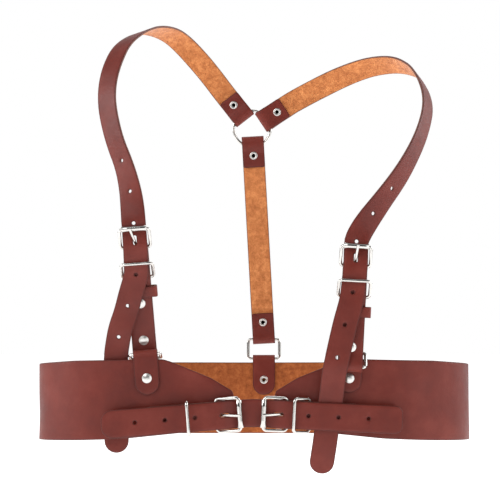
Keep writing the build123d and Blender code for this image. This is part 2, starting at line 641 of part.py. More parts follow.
# ---------------------------------------------------------------- assembly
def all_nodes():
    left_lean = strap_lean(BUCKLES["shoulder_left"])
    right_lean = strap_lean(BUCKLES["shoulder_right"])
    nodes = {
        "belt_body": belt_body(),
        "closing_strap": closing_strap(),
        "back_strap": back_strap(),
        "back_ring": rectangular_ring(BACK_RING_BARS, BACK_RING_ACROSS),
        "back_tab": tab(BACK_RING_BARS[0], 3.0, 8.0, BACK_TAB_RIVET_Z),
        "front_tab_left": tab(LEFT_RING_BARS[0], 10.0, 14.0, FRONT_TAB_RIVET_Z, left_lean),
        "front_tab_right": tab(RIGHT_RING_BARS[0], 12.0, 14.0, FRONT_TAB_RIVET_Z, right_lean),
        "front_ring_left": rectangular_ring(LEFT_RING_BARS, FRONT_RING_ACROSS, left_lean),
        "front_ring_right": rectangular_ring(RIGHT_RING_BARS, FRONT_RING_ACROSS, right_lean),
        "o_ring": o_ring(),
        "shoulder_strap_left": shoulder_strap(
            BUCKLES["shoulder_left"], LEFT_ANGLE, LEFT_SHOULDER, LEFT_TAIL_SEATED, LEFT_TAIL_FREE
        ),
        "shoulder_strap_right": shoulder_strap(
            BUCKLES["shoulder_right"], RIGHT_ANGLE, RIGHT_SHOULDER, RIGHT_TAIL_SEATED, RIGHT_TAIL_FREE
        ),
        "buckle_strap_left": buckle_strap(BUCKLES["shoulder_left"], LEFT_RING_BARS[1]),
        "buckle_strap_right": buckle_strap(BUCKLES["shoulder_right"], RIGHT_RING_BARS[1]),
        "belt_chape_left": belt_chape(BUCKLES["belt_left"]),
        "belt_chape_right": belt_chape(BUCKLES["belt_right"]),
        "leather_keeper_left": leather_keeper(BUCKLES["shoulder_left"]),
        "leather_keeper_right": leather_keeper(BUCKLES["shoulder_right"]),
    }
    for key, buckle in BUCKLES.items():
        nodes[f"{key}_frame"] = buckle_frame(buckle)
        nodes[f"{key}_roller"] = roller(buckle)
        nodes[f"{key}_prong"] = prong(buckle)
        nodes[f"{key}_keeper"] = metal_keeper(buckle)
    for name, places in strap_rivets().items():
        nodes[name] = rivets_at(places)
    return nodes


def main():
    os.makedirs("parts", exist_ok=True)
    for name, shape in all_nodes().items():
        export_step(shape, f"parts/{name}.step")


main()
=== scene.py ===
"""Looks of the leather body harness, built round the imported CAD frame.

Shapes are worked out in millimetres in the frame's own axes and written in metres.
Each leather piece is a flat pattern, cut with its holes and wrapped along its path.
"""
import bisect
import json
import math

import bpy
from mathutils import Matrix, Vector, kdtree, noise
from mathutils.geometry import delaunay_2d_cdt


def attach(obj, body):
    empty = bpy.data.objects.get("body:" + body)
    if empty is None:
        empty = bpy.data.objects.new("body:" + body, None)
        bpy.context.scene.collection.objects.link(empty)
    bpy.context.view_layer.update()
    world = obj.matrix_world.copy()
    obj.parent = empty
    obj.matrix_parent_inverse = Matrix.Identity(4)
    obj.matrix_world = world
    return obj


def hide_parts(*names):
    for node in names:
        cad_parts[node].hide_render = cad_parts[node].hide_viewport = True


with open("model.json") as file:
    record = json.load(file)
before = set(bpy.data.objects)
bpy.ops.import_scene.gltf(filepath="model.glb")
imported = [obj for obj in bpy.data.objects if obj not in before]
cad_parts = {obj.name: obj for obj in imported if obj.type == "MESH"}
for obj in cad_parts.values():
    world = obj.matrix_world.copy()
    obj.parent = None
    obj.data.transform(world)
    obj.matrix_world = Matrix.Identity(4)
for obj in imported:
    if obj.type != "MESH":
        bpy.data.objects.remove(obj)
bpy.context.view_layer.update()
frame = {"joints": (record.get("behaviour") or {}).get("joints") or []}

MM = 0.001

# ---- leather ----
BELT_THICKNESS = 2.5
WIDE_STRAP = 25.0
WIDE_THICKNESS = 2.2
NARROW_STRAP = 22.0
NARROW_THICKNESS = 2.0
HOLE_RADIUS = 1.6
NARROW_PITCH = 30.0
WIDE_PITCH = 27.0
LAYER_GAP = 0.4
SKIM = 0.01
EDGE_ROUND = 0.45         # rounding of a cut edge
TIP_ROUND = 10.9          # corners of a round strap end
MESH_STEP = 3.0
FOLD_STEP = 12.0          # degrees of turn between mesh lines in a fold
NARROW_LAYER = NARROW_THICKNESS / 2 + SKIM
GRAIN_SIDE, FLESH_SIDE, CUT_SIDE = 0, 1, 2    # material slots of a leather mesh

# ---- hardware ----
WIRE = 3.0
RING_WIRE = 2.9
O_RING_DIAMETER = 39.5
BAR_PLAY = 0.15
ROLLER_GAP = 0.3          # between the roller and the strap behind it
FOLD_GAP = 0.3            # between the O-ring's wire and a fold
ROLLER_RADIUS = 2.5
ROLLER_BORE = 1.65
ROLLER_RISE = 4.0
PRONG_EYE = 2.7
PRONG_TIP_RISE = 4.45
PRONG_ROOT = 1.2          # radius at the bar, and how much thinner the tip is
PRONG_TAPER = 0.2
PRONG_BOW = 0.5
PRONG_LEAN = 19.4         # degrees round the eye where the shank leaves it
RING_REACH = 17.0
RING_SLACK = 0.95
WIRE_CORNER = 3.2
CAP_RADIUS = 4.5
CAP_HEIGHT = 1.5
RIM_RADIUS = 4.0
RIM_HEIGHT = 0.9
BORE_RADIUS = 1.4
SHANK_RADIUS = 1.9
RIVET_SIDES = 40
# these bore faces get near-black nickel, a painted shadow for the shade inside the bore
BORE_ROWS = 3             # last rows of a rivet's faces, which line its bore

# ---- places, in the CAD frame ----
HALF_DEPTH = 65.3
HALF_WIDTH = 202.0
END_RADIUS = 52.0
END_HALF_ANGLE = 50.0
BACK_HALF_HEIGHT = 35.0
WING_GAP = 17.0           # from the middle plane to the lower corner of a wing's point
BAR_DEPTH = -70.45
O_RING_CENTRE = Vector((-1.7, 66.0, 268.5))
RING_BARS = {
    "front_ring_left": (Vector((-98.6, -HALF_DEPTH, 46.8)), Vector((-99.6, -49.3, 42.0))),
    "front_ring_right": (Vector((87.2, -HALF_DEPTH, 48.4)), Vector((86.2, -76.2, 35.4))),
    "back_ring": (Vector((10.0, HALF_DEPTH, 38.8)), Vector((10.0, O_RING_CENTRE.y, 57.9))),
}
RING_ACROSS = {"front_ring_left": 27.6, "front_ring_right": 27.6, "back_ring": 31.0}
TAB_PLAY = 1.7
BAR_FOLD = WIRE / 2 + RING_SLACK + NARROW_THICKNESS / 2
OPENING = [(12, NARROW_LAYER), (8, 2.2), (3, BAR_FOLD)]    # half height, by distance from a ring's bar
KEEPER_WALL = 1.6
KEEPER_INSIDE = (26.0, 4.9)
KEEPER_CORNER = 1.6
KEEPER_LENGTH = 10.0
KEEPER_CENTRE = (-41.0, -1.6)
LEFT_ANGLE = 128.0
RIGHT_ANGLE = 33.5
FOLD_REACH = 39.0
# folded ends, from the ring's centre: where the fold ends, where its layers meet, and its rivet
SHOULDER_FOLD = (11.45, 25.0, 30.0)
BACK_FOLD = (8.6, 22.6, 27.2)
RING_OUTSIDE = O_RING_DIAMETER / 2 + 0.2
BACK_RIVET = 17.0
BACK_TAB_RIVET = 18.0     # height of a tab's rivet
FRONT_TAB_RIVET = 25.0

HARNESS = "harness"


# ---------------------------------------------------------------- seats
class Seat:
    """Local axes: a point's place from its x, y and z in the seat."""

    def __init__(self, origin, x_dir, z_dir):
        self.origin = Vector(origin)
        self.x = Vector(x_dir).normalized()
        self.z = (Vector(z_dir) - self.x * Vector(z_dir).dot(self.x)).normalized()
        self.y = self.z.cross(self.x)

    def point(self, x, y, z):
        return self.origin + self.x * x + self.y * y + self.z * z

    def vector(self, x, y, z):
        return self.x * x + self.y * y + self.z * z


def joint(name):
    return next(j for j in frame["joints"] if j["name"] == name)


def joint_place(name):
    return Vector(joint(name)["pos_m"]) / MM


class Buckle:
    """A roller buckle placed by the frame's own joints: bar at the origin, roller along +x."""

    def __init__(self, key, strap, thickness, inner, reach, keeper_tilt, keeper_room):
        self.key, self.strap, self.thickness, self.inner = key, strap, thickness, inner
        self.reach, self.keeper_tilt, self.keeper_room = reach, keeper_tilt, keeper_room
        bar = joint_place(f"{key}_frame_tilt")
        roller = joint_place(f"{key}_roller_spin")
        across = -Vector(joint(f"{key}_frame_tilt")["axis"]).normalized()
        rise = (roller - bar).normalized()
        slope = math.atan2(ROLLER_RISE, reach)
        square = rise.cross(across)
        x_dir = rise * math.cos(slope) - square * math.sin(slope)
        z_dir = rise * math.sin(slope) + square * math.cos(slope)
        self.seat = Seat(bar, x_dir, z_dir)
        self.keeper_x = (joint_place(f"{key}_keeper_swing") - bar).dot(self.seat.x)

    def bar_loop(self):
        """Radius of the chape's middle layer round the bar."""
        return WIRE / 2 + BAR_PLAY + self.thickness / 2

    def over_fold(self):
        return WIRE / 2 + BAR_PLAY + self.thickness * 1.5 + LAYER_GAP

    def under_roller(self):
        return ROLLER_RISE - ROLLER_RADIUS - ROLLER_GAP - self.thickness / 2


NARROW = (NARROW_STRAP, NARROW_THICKNESS, 24.0, 18.0)
WIDE = (WIDE_STRAP, WIDE_THICKNESS, 26.4, 21.0)
BUCKLES = {
    "shoulder_left": Buckle("shoulder_left", *NARROW, 33.0, 0.7),
    "shoulder_right": Buckle("shoulder_right", *NARROW, 33.0, 0.7),
    "belt_left": Buckle("belt_left", *WIDE, 88.0, 0.25),
    "belt_right": Buckle("belt_right", *WIDE, 34.0, 0.25),
}


def ring_seat(angle):
    """Seat at the O-ring's centre: x along the strap, z towards the front."""
    turn = math.radians(angle)
    return Seat(O_RING_CENTRE, (math.cos(turn), 0, math.sin(turn)), (0, -1, 0))


def back_angle():
    run = RING_BARS["back_ring"][1] - O_RING_CENTRE
    return math.degrees(math.atan2(run.z, run.x))


# ---------------------------------------------------------------- paths
def chaikin(values):
    cut = [values[0]]
    for a, b in zip(values, values[1:]):
        cut += [a * 0.75 + b * 0.25, a * 0.25 + b * 0.75]
    return cut + [values[-1]]


class Path:
    """Smooth way along a piece's middle layer: centre, direction, across and outward normal anywhere."""

    def __init__(self, points, normals, rounds=3):
        for _ in range(rounds):
            points, normals = chaikin(points), chaikin(normals)
        kept = [0] + [i for i in range(1, len(points)) if (points[i] - points[i - 1]).length > 1e-4]
        self.points = [points[i] for i in kept]
        self.runs = [0.0]
        for a, b in zip(self.points, self.points[1:]):
            self.runs.append(self.runs[-1] + (b - a).length)
        self.length = self.runs[-1]
        befores, afters = self.points[:1] + self.points[:-1], self.points[1:] + self.points[-1:]
        self.along = [(after - before).normalized() for before, after in zip(befores, afters)]
        self.out = []
        for i, k in enumerate(kept):
            n, t = normals[k], self.along[i]
            self.out.append((n - t * n.dot(t)).normalized())

    def at(self, s):
        i = min(max(bisect.bisect_right(self.runs, s) - 1, 0), len(self.runs) - 2)
        share = (s - self.runs[i]) / (self.runs[i + 1] - self.runs[i])
        centre = self.points[i].lerp(self.points[i + 1], share)
        share = min(max(share, 0.0), 1.0)
        along = self.along[i].lerp(self.along[i + 1], share).normalized()
        out = self.out[i].lerp(self.out[i + 1], share)
        out = (out - along * out.dot(along)).normalized()
        return centre, along, along.cross(out), out

    def nearest(self, point, low=0.0, high=1e9):
        """Distance along the path of its nearest point between low and high."""
        places = [i for i, run in enumerate(self.runs) if low <= run <= high]
        return self.runs[min(places, key=lambda i: (self.points[i] - point).length)]

    def lines(self):
        """Distances for mesh lines: evenly apart, and closer where the path turns."""
        marks, turned, mark_along = [0.0], 0.0, self.along[0]
        for run, along in zip(self.runs, self.along):
            turned = math.degrees(mark_along.angle(along, 0.0))
            if run - marks[-1] >= MESH_STEP or (turned > FOLD_STEP and run - marks[-1] > 0.3):
                marks.append(run)
                mark_along = along
        return marks

    def bend(self, s):
        """Turn in degrees per millimetre near s."""
        reach = 2.0
        a = self.at(max(s - reach, 0.0))[1]
        b = self.at(min(s + reach, self.length))[1]
        return math.degrees(a.angle(b, 0.0)) / (2 * reach)


def arc_points(centre, radius, start, end, step=15.0):
    """(x, z) points and normals round an arc, from start to end degrees."""
    count = max(2, round(abs(end - start) / step))
    rows = []
    for i in range(count + 1):
        turn = math.radians(start + (end - start) * i / count)
        normal = (math.cos(turn), math.sin(turn))
        rows.append(((centre[0] + radius * normal[0], centre[1] + radius * normal[1]), normal))
    return rows


def seated_rows(seat, rows):
    """Rows of ((x, z), (nx, nz)) in a seat, as world points and normals."""
    return [(seat.point(p[0], 0, p[1]), seat.vector(n[0], 0, n[1])) for p, n in rows]


def path_of(rows, rounds=3):
    return Path([r[0] for r in rows], [r[1] for r in rows], rounds)


# ---------------------------------------------------------------- flat patterns
def rounded(corners, step=15.0):
    """Closed outline from (s, w, radius) corners, with its corners as arcs."""
    outline = []
    count = len(corners)
    for i, (s, w, radius) in enumerate(corners):
        here = Vector((s, w))
        before = Vector(corners[i - 1][:2]) - here
        after = Vector(corners[(i + 1) % count][:2]) - here
        half = before.angle(after) / 2
        if radius <= 0 or half > math.radians(89):
            outline.append(here)
            continue
        tangent = min(radius / math.tan(half), before.length * 0.499, after.length * 0.499)
        radius = tangent * math.tan(half)
        first = here + before.normalized() * tangent
        last = here + after.normalized() * tangent
        centre = here + (before.normalized() + after.normalized()).normalized() * (radius / math.sin(half))
        turn = math.degrees((first - centre).angle(last - centre))
        steps = max(2, round(turn / step))
        a0 = math.atan2(first.y - centre.y, first.x - centre.x)
        a1 = math.atan2(last.y - centre.y, last.x - centre.x)
        a1 = a0 + math.remainder(a1 - a0, 2 * math.pi)
        for k in range(steps + 1):
            a = a0 + (a1 - a0) * k / steps
            outline.append(centre + Vector((math.cos(a), math.sin(a))) * radius)
    return outline


def strip_outline(length, width, start_radius, end_radius):
    half = width / 2
    start_radius, end_radius = min(start_radius, half * 0.99), min(end_radius, half * 0.99)
    return rounded([
        (0.0, -half, start_radius), (length, -half, end_radius),
        (length, half, end_radius), (0.0, half, start_radius),
    ])


def round_hole(s, radius=HOLE_RADIUS, count=20):
    turns = [2 * math.pi * i / count for i in range(count)]
    return [Vector((s + radius * math.cos(a), radius * math.sin(a))) for a in turns]


def long_hole(a, b, width):
    """Hole with round ends from one distance to the other, whichever comes first."""
    half = width / 2
    corners = ((min(a, b), -half), (max(a, b), -half), (max(a, b), half), (min(a, b), half))
    return rounded([(s, w, half * 0.98) for s, w in corners], step=22.5)


def divided(loop, lines):
    """Loop with points added where mesh lines cross it and on long edges."""
    points = []
    for a, b in zip(loop, loop[1:] + loop[:1]):
        marks = []
        if abs(b.x - a.x) > 0.6:
            marks = [(m - a.x) / (b.x - a.x) for m in lines if min(a.x, b.x) < m < max(a.x, b.x)]
        else:
            count = int((b - a).length / MESH_STEP)
            marks = [k / (count + 1) for k in range(1, count + 1)]
        spare = 0.25 / max((b - a).length, 1e-6)
        points.append(a)
        points += [a.lerp(b, m) for m in sorted(marks) if spare < m < 1 - spare]
    return points


def area(loop):
    return sum(a.x * b.y - b.x * a.y for a, b in zip(loop, loop[1:] + loop[:1])) / 2


def inset(loop, distance):
    """Loop moved towards its left side, which is the leather's side."""
    moved = []
    count = len(loop)
    for i, here in enumerate(loop):
        a = (here - loop[i - 1]).normalized()
        b = (loop[(i + 1) % count] - here).normalized()
        left = Vector((-a.y - b.y, a.x + b.x))
        left = left.normalized() if left.length > 1e-6 else Vector((-a.y, a.x))
        stretch = 1 / max(0.5, left.dot(Vector((-a.y, a.x))))
        moved.append(here + left * distance * stretch)
    return moved


def in_a_hole(points, triangle, holes):
    """Whether a triangle's middle lies inside one of the hole loops."""
    middle = sum((points[i] for i in triangle), Vector((0, 0))) / len(triangle)
    for loop in holes:
        crossings = 0
        for a, b in zip(loop, loop[1:] + loop[:1]):
            if (a.y > middle.y) != (b.y > middle.y):
                crossings += middle.x < a.x + (middle.y - a.y) * (b.x - a.x) / (b.y - a.y)
        if crossings % 2:
            return True
    return False


def linked(name, data):
    thing = bpy.data.objects.new(name, data)
    bpy.context.collection.objects.link(thing)
    return thing


def smooth_mesh(name, verts, faces, materials):
    mesh = bpy.data.meshes.new(name)
    mesh.from_pydata(verts, [], faces)
    mesh.validate()
    for material in materials:
        mesh.materials.append(material)
    mesh.polygons.foreach_set("use_smooth", [True] * len(mesh.polygons))
    return mesh


def border_of(loops):
    """Points and edges of a pattern's loops, and a search for the nearest of them."""
    border = [p for loop in loops for p in loop]
    edges, start = [], 0
    for loop in loops:
        count = len(loop)
        edges += [(start + i, start + (i + 1) % count) for i in range(count)]
        start += count
    rim = kdtree.KDTree(len(border))
    for i, p in enumerate(border):
        rim.insert((p.x, p.y, 0), i)
    rim.balance()
    return border, edges, rim


def mesh_points(outline, lines, rim):
    """Points inside the pattern, on the mesh lines and clear of its rim."""
    low, high = min(p.y for p in outline), max(p.y for p in outline)
    across_count = max(2, round((high - low) / MESH_STEP))
    rows = [low + (high - low) * k / across_count for k in range(1, across_count)]
    return [Vector((s, w)) for s in lines for w in rows if rim.find((s, w, 0))[2] > 0.6]


def leather(name, path, outline, holes, thickness, materials, lift=None):
    """Wrap a flat pattern along a path: grain outside, suede inside and rounded cut edges."""
    lines = path.lines()
    loops = [divided(loop, lines) for loop in [outline] + holes]
    for number, loop in enumerate(loops):
        if (area(loop) > 0) != (number == 0):
            loop.reverse()
    half = thickness / 2
    bite = EDGE_ROUND * (1 - math.sqrt(0.5))
    levels = [
        (EDGE_ROUND, half), (bite, half - bite), (0.0, half - EDGE_ROUND),
        (0.0, EDGE_ROUND - half), (bite, bite - half), (EDGE_ROUND, -half),
    ]
    rims = [[inset(loop, step) for loop in loops] for step, _ in levels]
    border, edges, tree = border_of(rims[0])
    flat = border + mesh_points(outline, lines, tree)
    sheet, _, triangles, source, *_ = delaunay_2d_cdt(flat, edges, [], 2, 1e-5)
    triangles = [tri for tri in triangles if not in_a_hole(sheet, tri, rims[0][1:])]
    verts, flats, rim_values = [], [], []

    def add(p, height, rim):
        centre, _, across, out = path.at(p.x)
        extra = lift(p.x, p.y) if lift else 0.0
        verts.append((centre + across * p.y + out * (height + extra)) * MM)
        flats.append((p.x * MM, p.y * MM, height * MM))
        rim_values.append(rim)
        return len(verts) - 1

    border_places = [(number, i) for number, loop in enumerate(rims[0]) for i in range(len(loop))]
    rings = [[[None] * len(loop) for loop in rim] for rim in rims]
    faces, kinds = [], []
    last = len(levels) - 1
    for level in range(1, last):
        rings[level] = [[add(p, levels[level][1], 0.0) for p in loop] for loop in rims[level]]
    for level, flip in ((0, False), (last, True)):
        vertex_of = {}
        for i in sorted({i for tri in triangles for i in tri}):
            p = sheet[i]
            rim = tree.find((p.x, p.y, 0))[2] + EDGE_ROUND
            vertex_of[i] = add(p, levels[level][1], rim)
            for k in source[i]:
                if k < len(border):
                    number, j = border_places[k]
                    rings[level][number][j] = vertex_of[i]
        for tri in triangles:
            ids = [vertex_of[i] for i in tri]
            a, b, c = (sheet[i] for i in tri[:3])
            up = (b - a).cross(c - a) > 0
            faces.append(tuple(ids if up != flip else reversed(ids)))
            kinds.append(FLESH_SIDE if flip else GRAIN_SIDE)
    for level, (uppers, lowers) in enumerate(zip(rings, rings[1:])):
        for top, bottom in zip(uppers, lowers):
            for i, j in zip(range(len(top)), [*range(1, len(top)), 0]):
                quad = (top[i], bottom[i], bottom[j], top[j])
                if None not in quad:
                    faces.append(quad)
                    kinds.append(GRAIN_SIDE if level < 2 else CUT_SIDE)
    mesh = smooth_mesh(name, verts, faces, materials)
    mesh.polygons.foreach_set("material_index", kinds[:len(mesh.polygons)])
    half_steps = [round(f[0] / MM * 2) for f in flats]
    bends = {step: min(path.bend(step / 2) / 20.0, 1.0) for step in set(half_steps)}
    for key, kind, field, values in (
        ("flat", "FLOAT_VECTOR", "vector", [c for f in flats for c in f]),
        ("rim", "FLOAT", "value", rim_values),
        ("bend", "FLOAT", "value", [bends[step] for step in half_steps]),
    ):
        mesh.attributes.new(key, kind, "POINT").data.foreach_set(field, values)
    return linked(name, mesh)


def place(piece, body, slot_name, *nodes):
    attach(piece, body)
    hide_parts(*nodes)
    return piece


# ---------------------------------------------------------------- materials
class Nodes:
    """Short way to build a material's node tree."""

    def __init__(self, name):
        self.material = bpy.data.materials.new(name)
        self.material.use_nodes = True
        self.tree = self.material.node_tree
        self.shader = self.tree.nodes["Principled BSDF"]
        self.coords = self.tree.nodes.new("ShaderNodeTexCoord").outputs["Object"]

    def new(self, kind, **settings):
        node = self.tree.nodes.new(kind)
        for key, value in settings.items():
            setattr(node, key, value)
        return node

    def link(self, a, b):
        self.tree.links.new(a, b)

    def give(self, name, value):
        """Set or link one of the shader's own sockets."""
        if isinstance(value, (int, float, tuple)):
            self.shader.inputs[name].default_value = value
        else:
            self.link(value, self.shader.inputs[name])

    def noise(self, scale, detail=4.0, rough=0.55, coords=None):
        node = self.new("ShaderNodeTexNoise")
        node.inputs["Scale"].default_value = scale
        node.inputs["Detail"].default_value = detail
        node.inputs["Roughness"].default_value = rough
        self.link(coords or self.coords, node.inputs["Vector"])
        return node.outputs["Fac"]

    def cells(self, scale):
        node = self.new("ShaderNodeTexVoronoi", feature="DISTANCE_TO_EDGE")
        node.inputs["Scale"].default_value = scale
        self.link(self.coords, node.inputs["Vector"])
        return node.outputs["Distance"]

    def ramp(self, value, stops):
        node = self.new("ShaderNodeValToRGB")
        elements = node.color_ramp.elements
        while len(elements) < len(stops):
            elements.new(0.5)
        for element, (spot, colour) in zip(elements, stops):
            element.position, element.color = spot, (*colour, 1)
        self.link(value, node.inputs["Fac"])
        return node.outputs["Color"]

    def spread(self, value, low, high, to_low, to_high):
        node = self.new("ShaderNodeMapRange")
        for key, number in zip(("From Min", "From Max", "To Min", "To Max"), (low, high, to_low, to_high)):
            node.inputs[key].default_value = number
        self.link(value, node.inputs["Value"])
        return node.outputs["Result"]

    def mix(self, share, a, b):
        node = self.new("ShaderNodeMix", data_type="RGBA")
        for value, number in ((share, 0), (a, 6), (b, 7)):
            if isinstance(value, (int, float)):
                node.inputs[number].default_value = value
            elif isinstance(value, tuple):
                node.inputs[number].default_value = (*value, 1)
            else:
                self.link(value, node.inputs[number])
        return node.outputs[2]

    def maths(self, operation, a, b):
        node = self.new("ShaderNodeMath", operation=operation)
        for i, value in enumerate((a, b)):
            if isinstance(value, (int, float)):
                node.inputs[i].default_value = value
            else:
                self.link(value, node.inputs[i])
        return node.outputs[0]

    def stretched(self, coords, scale, turn=(0.0, 0.0, 0.0)):
        node = self.new("ShaderNodeMapping")
        node.inputs["Scale"].default_value = scale
        node.inputs["Rotation"].default_value = turn
        self.link(coords, node.inputs["Vector"])
        return node.outputs["Vector"]

    def attribute(self, name, output="Fac"):
        return self.new("ShaderNodeAttribute", attribute_name=name).outputs[output]

    def bumps(self, *layers):
        """Bump layers of (height, depth in millimetres), one on top of another."""
        normal = None
        for height, depth in layers:
            node = self.new("ShaderNodeBump")
            node.inputs["Distance"].default_value = depth * MM
            self.link(height, node.inputs["Height"])
            if normal:
                self.link(normal, node.inputs["Normal"])
            normal = node.outputs["Normal"]
        self.give("Normal", normal)


def grain_leather(name, dark, middle, light):
    """Smooth reddish-brown grain: fine cells and pores, cloudy dye, burnished rims, creased folds."""
    n = Nodes(name)
    cloud = n.noise(26.0, 5.0, 0.6)
    colour = n.ramp(cloud, ((0.28, dark), (0.52, middle), (0.78, light)))
    fine = n.noise(900.0, 3.0)
    colour = n.mix(n.spread(fine, 0.35, 0.7, 0.0, 0.22), colour, dark)
    rim = n.attribute("rim")
    burnish = n.spread(rim, 0.35, 1.2, 0.55, 0.0)
    colour = n.mix(burnish, colour, tuple(c * 0.42 for c in dark))
    bend = n.attribute("bend")
    crease = n.noise(1.0, 4.0, 0.6, n.stretched(n.attribute("flat", "Vector"), (1100.0, 140.0, 1.0)))
    crease_depth = n.maths("MULTIPLY", crease, bend)
    colour = n.mix(n.maths("MULTIPLY", bend, 0.35), colour, tuple(min(c * 1.25, 1) for c in light))
    n.give("Base Color", colour)
    sheen_map = n.noise(60.0, 4.0)
    n.give("Roughness", n.spread(sheen_map, 0.3, 0.7, 0.40, 0.55))
    n.give("Specular IOR Level", 0.3)
    pores = (n.cells(1150.0), 0.06), (n.noise(2600.0, 2.0), 0.035)
    n.bumps((n.noise(70.0, 3.0), 0.35), *pores, (crease_depth, 0.9))
    return n.material


def suede(name, dark, middle, light):
    """Tan flesh side: mottled, matt and fibrous."""
    n = Nodes(name)
    mottle = n.noise(220.0, 6.0, 0.7)
    colour = n.ramp(mottle, ((0.3, dark), (0.5, middle), (0.7, light)))
    patches = n.noise(38.0, 4.0)
    colour = n.mix(n.spread(patches, 0.35, 0.7, 0.0, 0.4), colour, dark)
    specks = n.noise(1100.0, 2.0, 0.7)
    colour = n.mix(n.spread(specks, 0.58, 0.75, 0.0, 0.45), colour, tuple(c * 0.5 for c in dark))
    colour = n.mix(n.spread(n.attribute("rim"), 0.2, 1.2, 0.7, 0.0), colour, tuple(c * 0.35 for c in dark))
    n.give("Base Color", colour)
    n.give("Roughness", 0.92)
    n.give("Specular IOR Level", 0.2)
    n.give("Sheen Weight", 0.25)
    n.give("Sheen Roughness", 0.5)
    n.bumps((n.noise(240.0, 6.0, 0.7), 0.5), (n.noise(1500.0, 4.0, 0.7), 0.22))
    return n.material


def cut_edge(name, dark, light):
    """Cut edge with its dye: layered fibres, mostly dark."""
    n = Nodes(name)
    fibres = n.noise(1.0, 5.0, 0.65, n.stretched(n.attribute("flat", "Vector"), (260.0, 260.0, 2400.0)))
    n.give("Base Color", n.ramp(fibres, ((0.35, dark), (0.72, light))))
    n.give("Roughness", n.spread(fibres, 0.3, 0.7, 0.5, 0.75))
    n.bumps((fibres, 0.12), (n.noise(1800.0, 3.0), 0.06))
    return n.material


def nickel(name, tint, rough):
    """Bright nickel plate: slight waviness, hairline scratches and a dull haze in patches."""
    n = Nodes(name)
    haze = n.noise(140.0, 4.0)
    tone = n.ramp(haze, ((0.3, tuple(c * 0.9 for c in tint)), (0.7, tint)))
    n.give("Base Color", tone)
    n.give("Metallic", 1.0)
    lines = n.noise(1.0, 2.0, 0.5, n.stretched(n.coords, (300.0, 5200.0, 900.0), (0.4, 0.7, 0.3)))
    n.give("Roughness", n.spread(haze, 0.3, 0.75, rough, rough + 0.12))
    n.bumps((n.noise(190.0, 2.0), 0.012), (lines, 0.003))
    return n.material


GRAIN_DARK, GRAIN, GRAIN_LIGHT = (0.093, 0.0105, 0.0062), (0.133, 0.0160, 0.0091), (0.185, 0.029, 0.0185)
SUEDE_DARK, SUEDE, SUEDE_LIGHT = (0.34, 0.105, 0.030), (0.56, 0.195, 0.062), (0.74, 0.30, 0.105)
# darker copy of the strap suede for the inside of the belt: painted shade, standing in for the shade inside
# the waist loop
BELT_SUEDE_PAINTED_SHADE = ((0.21, 0.052, 0.012), (0.37, 0.100, 0.024), (0.52, 0.165, 0.046))

strap_materials = [
    grain_leather("strap_grain", GRAIN_DARK, GRAIN, GRAIN_LIGHT),
    suede("strap_suede", SUEDE_DARK, SUEDE, SUEDE_LIGHT),
    cut_edge("strap_edge", (0.06, 0.016, 0.012), (0.24, 0.095, 0.065)),
]
# the belt's materials: the same grain and edge as the straps, with the darker suede copy as painted shade
belt_materials_painted_shade = [
    grain_leather("belt_grain", GRAIN_DARK, GRAIN, GRAIN_LIGHT),
    suede("belt_suede_painted_shade", *BELT_SUEDE_PAINTED_SHADE),
    cut_edge("belt_edge", (0.06, 0.016, 0.012), (0.24, 0.095, 0.065)),
]
bright_nickel = nickel("bright_nickel", (0.60, 0.585, 0.56), 0.08)
rivet_nickel = nickel("rivet_nickel", (0.66, 0.645, 0.62), 0.28)
# near-black nickel for the rivets' bores: painted shadow, standing in for the shade inside them
painted_bore_shadow = nickel("painted_bore_shadow", (0.012, 0.011, 0.010), 0.55)


# ---------------------------------------------------------------- belt
def belt_path():
    """Plan curve of the waist loop from the left wing's point, round the back, to the right one."""
    lean = math.sin(math.radians(END_HALF_ANGLE))
    flank_radius = (HALF_DEPTH - END_RADIUS * lean) / (1 - lean)
    tip_x = HALF_WIDTH - END_RADIUS
    shift = flank_radius - END_RADIUS
    flank_x = tip_x - shift * math.cos(math.radians(END_HALF_ANGLE))
    flank_y = shift * lean
    turn = END_HALF_ANGLE
    rows = []

    def straight(x0, x1, y):
        count = round(abs(x1 - x0) / 3)
        for i in range(count):
            rows.append((Vector((x0 + (x1 - x0) * i / count, y, 0)), Vector((0, math.copysign(1, y), 0))))

    def arc(centre, radius, start, end):
        for p, n in arc_points(centre, radius, start, end, 2.0)[:-1]:
            rows.append((Vector((p[0], p[1], 0)), Vector((n[0], n[1], 0))))

    straight(-WING_GAP, -flank_x, -HALF_DEPTH)
    arc((-flank_x, flank_y), flank_radius, 270, 180 + turn)
    arc((-tip_x, 0), END_RADIUS, 180 + turn, 180 - turn)
    arc((-flank_x, -flank_y), flank_radius, 180 - turn, 90)
    straight(-flank_x, flank_x, HALF_DEPTH)
    arc((flank_x, -flank_y), flank_radius, 90, turn)
    arc((tip_x, 0), END_RADIUS, turn, -turn)
    arc((flank_x, flank_y), flank_radius, -turn, -90)
    straight(flank_x, WING_GAP, -HALF_DEPTH)
    rows.append((Vector((WING_GAP, -HALF_DEPTH, 0)), Vector((0, -1, 0))))
    return path_of(rows, 0)


# a wing's edges as (distance from its point, height, corner radius)
WING_TOP = [(3, 13.5, 3), (22, 25, 40), (65, 42.5, 30), (148, 40.5, 200), (218, 35.5, 200)]
WING_BOTTOM = [
    (0, 5, 4), (17, -10, 30), (35, -20, 30), (45, -24, 20),
    (99, -29.5, 200), (148, -32, 300), (218, -35, 300),
]
SLACK_RANGE = (110.0, 340.0)     # distances from a wing's point between which the belt may wave
SLACK_FADE = 60.0


